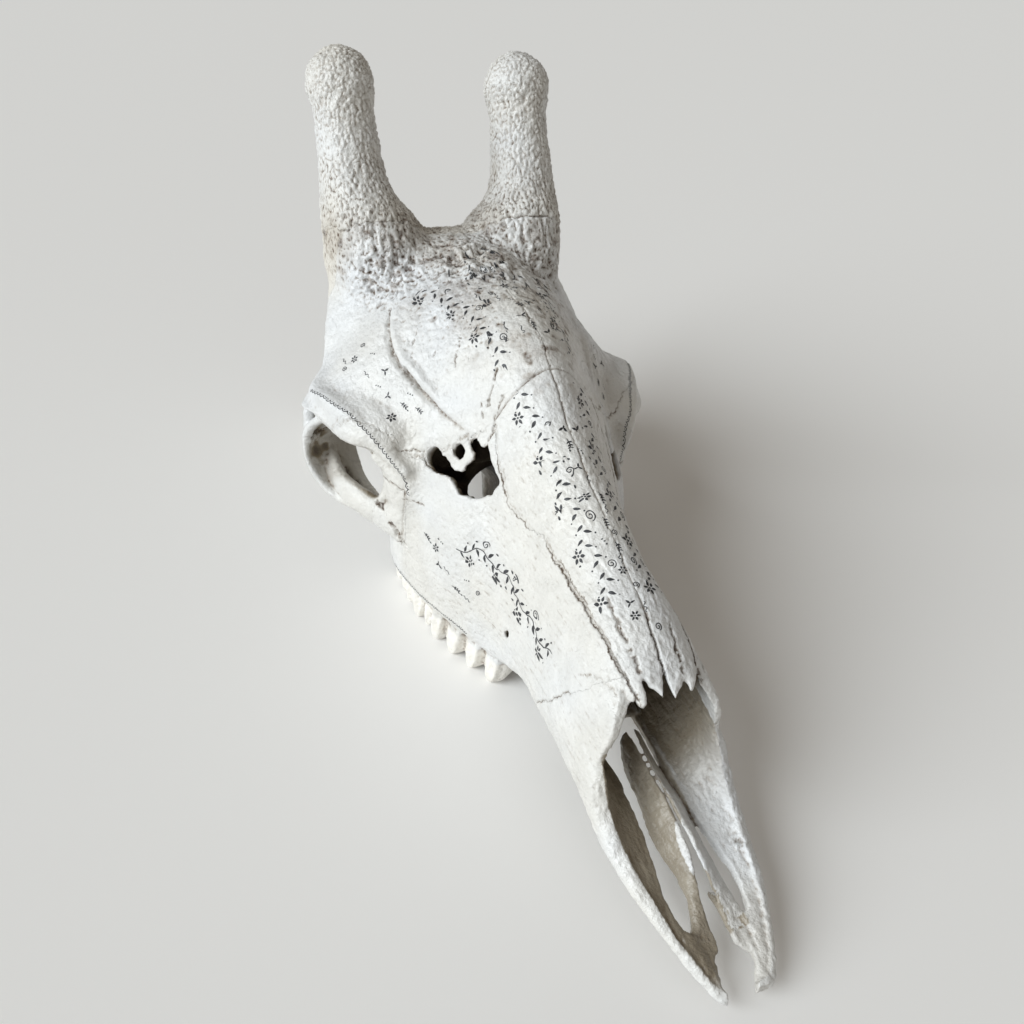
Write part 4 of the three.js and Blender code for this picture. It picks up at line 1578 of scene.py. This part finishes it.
# Lines of ink on the left, laid on both sides, and the middle lines of two fields
GARLAND_LINE = [
    (52, 446, 222), (44, 424, 222), (33, 402, 222), (26, 376, 218), (23, 350, 212), (21, 322, 200),
    (20, 290, 188), (18, 255, 172), (16, 220, 156), (13, 185, 142), (10, 160, 132),
]
CHEEK_LINE = [(60, 300, 96), (57, 280, 106), (54, 258, 104), (50, 236, 96), (46, 214, 92), (43, 192, 92)]
CHEEK_SPRAY = [(72, 330, 92), (66, 312, 84), (60, 292, 74), (55, 272, 72)]
RIM_LINE = [
    (131, 438, 151), (126, 424, 156), (120, 408, 158), (112, 394, 157), (103, 376, 149), (92, 358, 136),
    (84, 346, 122), (82, 343, 106),
]
TOOTH_LINE = [(76, 372, 36), (74, 345, 36), (69, 318, 36), (61, 296, 36), (52, 276, 36)]
BROW_LINE = [(98, 446, 172), (94, 424, 172), (88, 402, 170), (78, 384, 164), (70, 368, 158)]
FOREHEAD_FIELD = [(0, 468, 240), (0, 440, 240), (0, 400, 238), (0, 360, 228), (0, 330, 212)]
NASAL_FIELD = [(0, 318, 206), (0, 280, 190), (0, 230, 166), (0, 180, 144), (0, 150, 134)]

# What is drawn along each line: a function of the line's length and the side of the skull
PAIRED_INK = [
    (GARLAND_LINE, lambda length, side: garland(length, 2.6 * side, 34)),
    (CHEEK_LINE, lambda length, side: garland(length, 2.2 * side, 30)),
    (CHEEK_SPRAY, lambda length, side: scatter(length, 9, 9, 5)),
    (RIM_LINE, lambda length, side: scallops(length, side)),
    (TOOTH_LINE, lambda length, side: scallops(length, side, 4.0)),
    (BROW_LINE, lambda length, side: scatter(length, 13, 14, 6)),
]
MIDDLE_INK = [
    (FOREHEAD_FIELD, lambda length, side: scatter(length, 30, 74, 7)),
    (NASAL_FIELD, lambda length, side: scatter(length, 7, 26, 8)),
]


def ink_marks(tree):
    """All strokes of ink with the trails that they are laid along."""
    laid = []
    jobs = [(*job, side) for side in (1, -1) for job in PAIRED_INK]
    jobs += [(*job, 1) for job in MIDDLE_INK]
    for line, draw, side in jobs:
        trail = Trail(tree, np.array(line) * [side, 1, 1])
        laid += [(trail, mark) for mark in draw(trail.length, side)]
    return laid


def ink(tree):
    """One piece with every stroke, each a narrow strip of faces on the bone."""
    longest_step = 4  # a stroke that leaps over a gap in the bone is left out
    points = []
    faces = []
    for trail, (middle, half) in ink_marks(tree):
        ahead = np.gradient(middle, axis=0)
        aside = np.stack([-ahead[:, 1], ahead[:, 0]], 1) / np.linalg.norm(ahead, axis=1)[:, None]
        rows = [
            [trail.spot(*(place + normal * width * share)) for share in (-1, 0, 1)]
            for place, normal, width in zip(middle, aside, half)
        ]
        if any(spot is None for row in rows for spot in row):
            continue
        rows = np.array(rows)
        if np.linalg.norm(np.diff(rows[:, 1], axis=0), axis=1).max() > longest_step:
            continue
        first = len(points)
        points += list(rows.reshape(-1, 3))
        for i in range(len(rows) - 1):
            for j in range(2):
                a = first + i * 3 + j
                faces.append((a, a + 1, a + 4, a + 3))
    return mesh_object("ink", np.array(points), faces)


# Materials

class Paint:
    """A material under construction, with short ways to add nodes."""

    def __init__(self, name):
        self.material = bpy.data.materials.new(name)
        self.material.use_nodes = True
        self.nodes = self.material.node_tree.nodes
        self.links = self.material.node_tree.links
        self.shader = self.nodes["Principled BSDF"]
        self.place = self.nodes.new("ShaderNodeTexCoord").outputs["Object"]

    def put(self, source, target):
        """Links an output to a socket, or sets the socket to a number or a colour."""
        if hasattr(source, "is_output"):
            self.links.new(source, target)
        else:
            target.default_value = (*source, 1) if isinstance(source, tuple) else source

    def node(self, kind, inputs, **settings):
        """New node with its settings and inputs."""
        made = self.nodes.new("ShaderNode" + kind)
        for key, value in settings.items():
            setattr(made, key, value)
        for key, source in inputs.items():
            self.put(source, made.inputs[key])
        return made

    def attribute(self, name):
        return self.node("Attribute", {}, attribute_name=name).outputs["Fac"]

    def noise(self, scale, detail):
        inputs = {"Scale": scale, "Detail": detail, "Vector": self.place}
        return self.node("TexNoise", inputs).outputs["Fac"]

    def ramp(self, source, *stops):
        node = self.node("ValToRGB", {"Fac": source})
        while len(node.color_ramp.elements) < len(stops):
            node.color_ramp.elements.new(0.5)
        for element, (place, colour) in zip(node.color_ramp.elements, stops):
            element.position = place
            element.color = (*colour, 1) if isinstance(colour, tuple) else (colour, colour, colour, 1)
        return node.outputs["Color"]

    def mix(self, factor, first, second, blend="MIX"):
        inputs = {0: factor, 6: first, 7: second}
        return self.node("Mix", inputs, data_type="RGBA", blend_type=blend).outputs[2]

    def sums(self, operation, first, second):
        return self.node("Math", {0: first, 1: second}, operation=operation).outputs[0]

    def bump(self, height, distance, below=None):
        inputs = {"Strength": 1, "Distance": distance, "Height": height}
        if below is not None:
            inputs["Normal"] = below
        return self.node("Bump", inputs).outputs["Normal"]

    def shade(self, inputs):
        """The material, with inputs of its shader set."""
        for key, source in inputs.items():
            self.put(source, self.shader.inputs[key])
        return self.material


def bone_paint(name, grain, grain_depth, white, warm, roughness):
    """Pearly white paint over bone: darker brown in cracks, pits and hollows, brown soiling and painted
    shade in the muzzle, grey-brown deep in the orbits, and painted shade, brown to near-black, where the
    bone is enclosed.
    """
    paint = Paint(name)
    tone = paint.ramp(paint.noise(9, 3), (0.38, warm), (0.62, white))
    patches = paint.ramp(paint.noise(60, 4), (0.35, 0.92), (0.65, 1.0))
    coat = paint.mix(1, tone, patches, "MULTIPLY")
    enamel = paint.mix(paint.noise(140, 3), (0.80, 0.76, 0.68), (0.88, 0.86, 0.82))
    colour = paint.mix(paint.attribute("tooth"), coat, enamel)
    # Brown for the soiling and painted shade in the muzzle and enclosed places, and for the orbits
    film_and_shade = paint.mix(paint.noise(70, 4), (0.17, 0.125, 0.07), (0.36, 0.31, 0.23))
    # Painted shade and brown bare bone where a place is partly enclosed
    enclosed_bone_and_shade = paint.ramp(paint.attribute("enclosed"), (0.34, 0.0), (0.56, 1.0))
    # Share of brown soiling and painted shade in the muzzle, and of grey-brown in the orbits
    stain_and_shade_share = paint.sums("MULTIPLY", paint.attribute("stain"), 0.92)
    colour = paint.mix(paint.sums("MAXIMUM", stain_and_shade_share, enclosed_bone_and_shade), colour, film_and_shade)
    # Painted shade: near-black deep inside the nose and the holes, where a place is most enclosed
    inside = paint.ramp(paint.attribute("enclosed"), (0.52, 0.0), (0.80, 1.0))
    depth = paint.mix(paint.noise(90, 4), (0.016, 0.007, 0.004), (0.05, 0.026, 0.015))
    colour = paint.mix(inside, colour, depth)
    # Brown in cracks and darker in pits and hollows, broken into specks
    specks = paint.ramp(paint.noise(420, 2), (0.40, 0.55), (0.62, 1.0))
    grime_and_hollows = paint.sums("MULTIPLY", paint.attribute("dirt"), specks)
    soil_and_hollow_colour = paint.ramp(paint.attribute("dirt"), (0.5, (0.20, 0.135, 0.075)), (1.0, (0.085, 0.05, 0.03)))
    colour = paint.mix(grime_and_hollows, colour, soil_and_hollow_colour)
    rough = paint.ramp(paint.noise(110, 3), (0.3, roughness - 0.07), (0.7, roughness + 0.07))
    dull = paint.sums("MAXIMUM", grime_and_hollows, inside)
    rough = paint.mix(dull, rough, (0.85, 0.85, 0.85))
    broad = paint.bump(paint.noise(grain * 0.42, 3), grain_depth * 1.5)
    coarse = paint.bump(paint.noise(grain, 3), grain_depth, below=broad)
    fine = paint.bump(paint.noise(grain * 2.9, 2), grain_depth * 0.35, below=coarse)
    return paint.shade({
        "Base Color": colour, "Roughness": rough, "Coat Weight": 0.22, "Coat Roughness": 0.28,
        "Normal": fine,
    })


def ink_paint():
    """Dark ink, a little worn."""
    paint = Paint("ink")
    colour = paint.ramp(paint.noise(240, 3), (0.3, (0.012, 0.012, 0.014)), (0.75, (0.05, 0.05, 0.055)))
    rough = paint.ramp(paint.noise(300, 2), (0.3, 0.4), (0.7, 0.6))
    return paint.shade({"Base Color": colour, "Roughness": rough})


# Slots of bone: scale and depth of the grain, white and warm tone of the paint, roughness
BONE_FINISHES = {
    "painted_bone": (420, 0.0008, (0.745, 0.755, 0.765), (0.73, 0.71, 0.665), 0.34),
    "rough_bone": (380, 0.0009, (0.745, 0.745, 0.735), (0.72, 0.69, 0.63), 0.42),
    "plain_bone": (360, 0.0009, (0.735, 0.725, 0.70), (0.70, 0.665, 0.60), 0.5),
}
# Slots of the bones that aren't painted_bone
SLOTS = {"ossicone": "rough_bone", "cranium": "plain_bone", "occiput": "plain_bone"}


def finishes():
    """Material of each slot."""
    made = {slot: bone_paint(slot, *values) for slot, values in BONE_FINISHES.items()}
    made["ink"] = ink_paint()
    return made


def place(piece):
    """From millimetres on the skull to metres in the frame."""
    piece.data.transform(Matrix.Scale(MM, 4))
    piece.data.transform(Matrix.Translation((0, MUZZLE_TIP_Y, 0)))


def studio():
    """Pale floor, an even room and one broad soft key light from the left of the photograph."""
    half = 12
    corners = [(-half, -half, 0), (half, -half, 0), (half, half, 0), (-half, half, 0)]
    floor = mesh_object("floor", corners, [(0, 1, 2, 3)])
    paint = bpy.data.materials.new("floor_paper")
    paint.use_nodes = True
    shader = paint.node_tree.nodes["Principled BSDF"]
    shader.inputs["Base Color"].default_value = (0.94, 0.925, 0.905, 1)
    shader.inputs["Roughness"].default_value = 0.9
    floor.data.materials.append(paint)

    world = bpy.data.worlds.new("room")
    world.use_nodes = True
    background = world.node_tree.nodes["Background"]
    background.inputs["Color"].default_value = (1.0, 0.93, 0.83, 1)
    background.inputs["Strength"].default_value = 0.25
    bpy.context.scene.world = world
    bpy.context.scene.view_settings.view_transform = "Standard"

    light = bpy.data.lights.new("key", "SUN")
    light.energy = 3.2
    light.angle = math.radians(46)
    light.color = (0.90, 0.96, 1.0)
    shines = Vector((0.95, 0.08, -0.52))
    linked("key", light).rotation_euler = shines.to_track_quat("-Z", "Y").to_euler()


def photo_camera():
    """Camera at the photograph's view of the skull."""
    forward = Vector((0.393, 0.703, -0.593)).normalized()
    right = Vector((0.908, -0.399, 0.129))
    right = (right - forward * right.dot(forward)).normalized()
    upward = right.cross(forward)
    lens = bpy.data.cameras.new("photo_view")
    lens.sensor_width = 36
    lens.lens = 35.16
    lens.clip_start = 0.01
    eye = linked("photo_view", lens)
    position = (-0.289, -0.4937, 0.519)
    turn = Matrix((right, upward, -forward)).transposed().to_4x4()
    eye.matrix_world = Matrix.Translation(position) @ turn
    bpy.context.scene.camera = eye


photo_camera()
studio()
skull = whole_skull()
remesh(skull, VOXEL)
skull_points, skull_edges, _ = arrays(skull)
skull_points = smoothed(skull_points, skull_edges, ROUNDS_ALL_OVER)
write_points(skull, swollen(blended(skull_points, skull_edges)))
open_lookup = openness(skull)
carve(skull)
materials = finishes()
design = ink(surface_of(skull))
pieces = bones(skull)
for node, bone in pieces.items():
    bone.name = "bone_" + node
    wear(bone, open_lookup)
    bone.data.polygons.foreach_set("use_smooth", [True] * len(bone.data.polygons))
    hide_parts(node)
for piece in [*pieces.values(), design]:
    slot = "ink" if piece is design else SLOTS.get(piece.name.split("_")[1], "painted_bone")
    piece.data.materials.append(materials[slot])
    place(piece)
    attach(piece, "root")
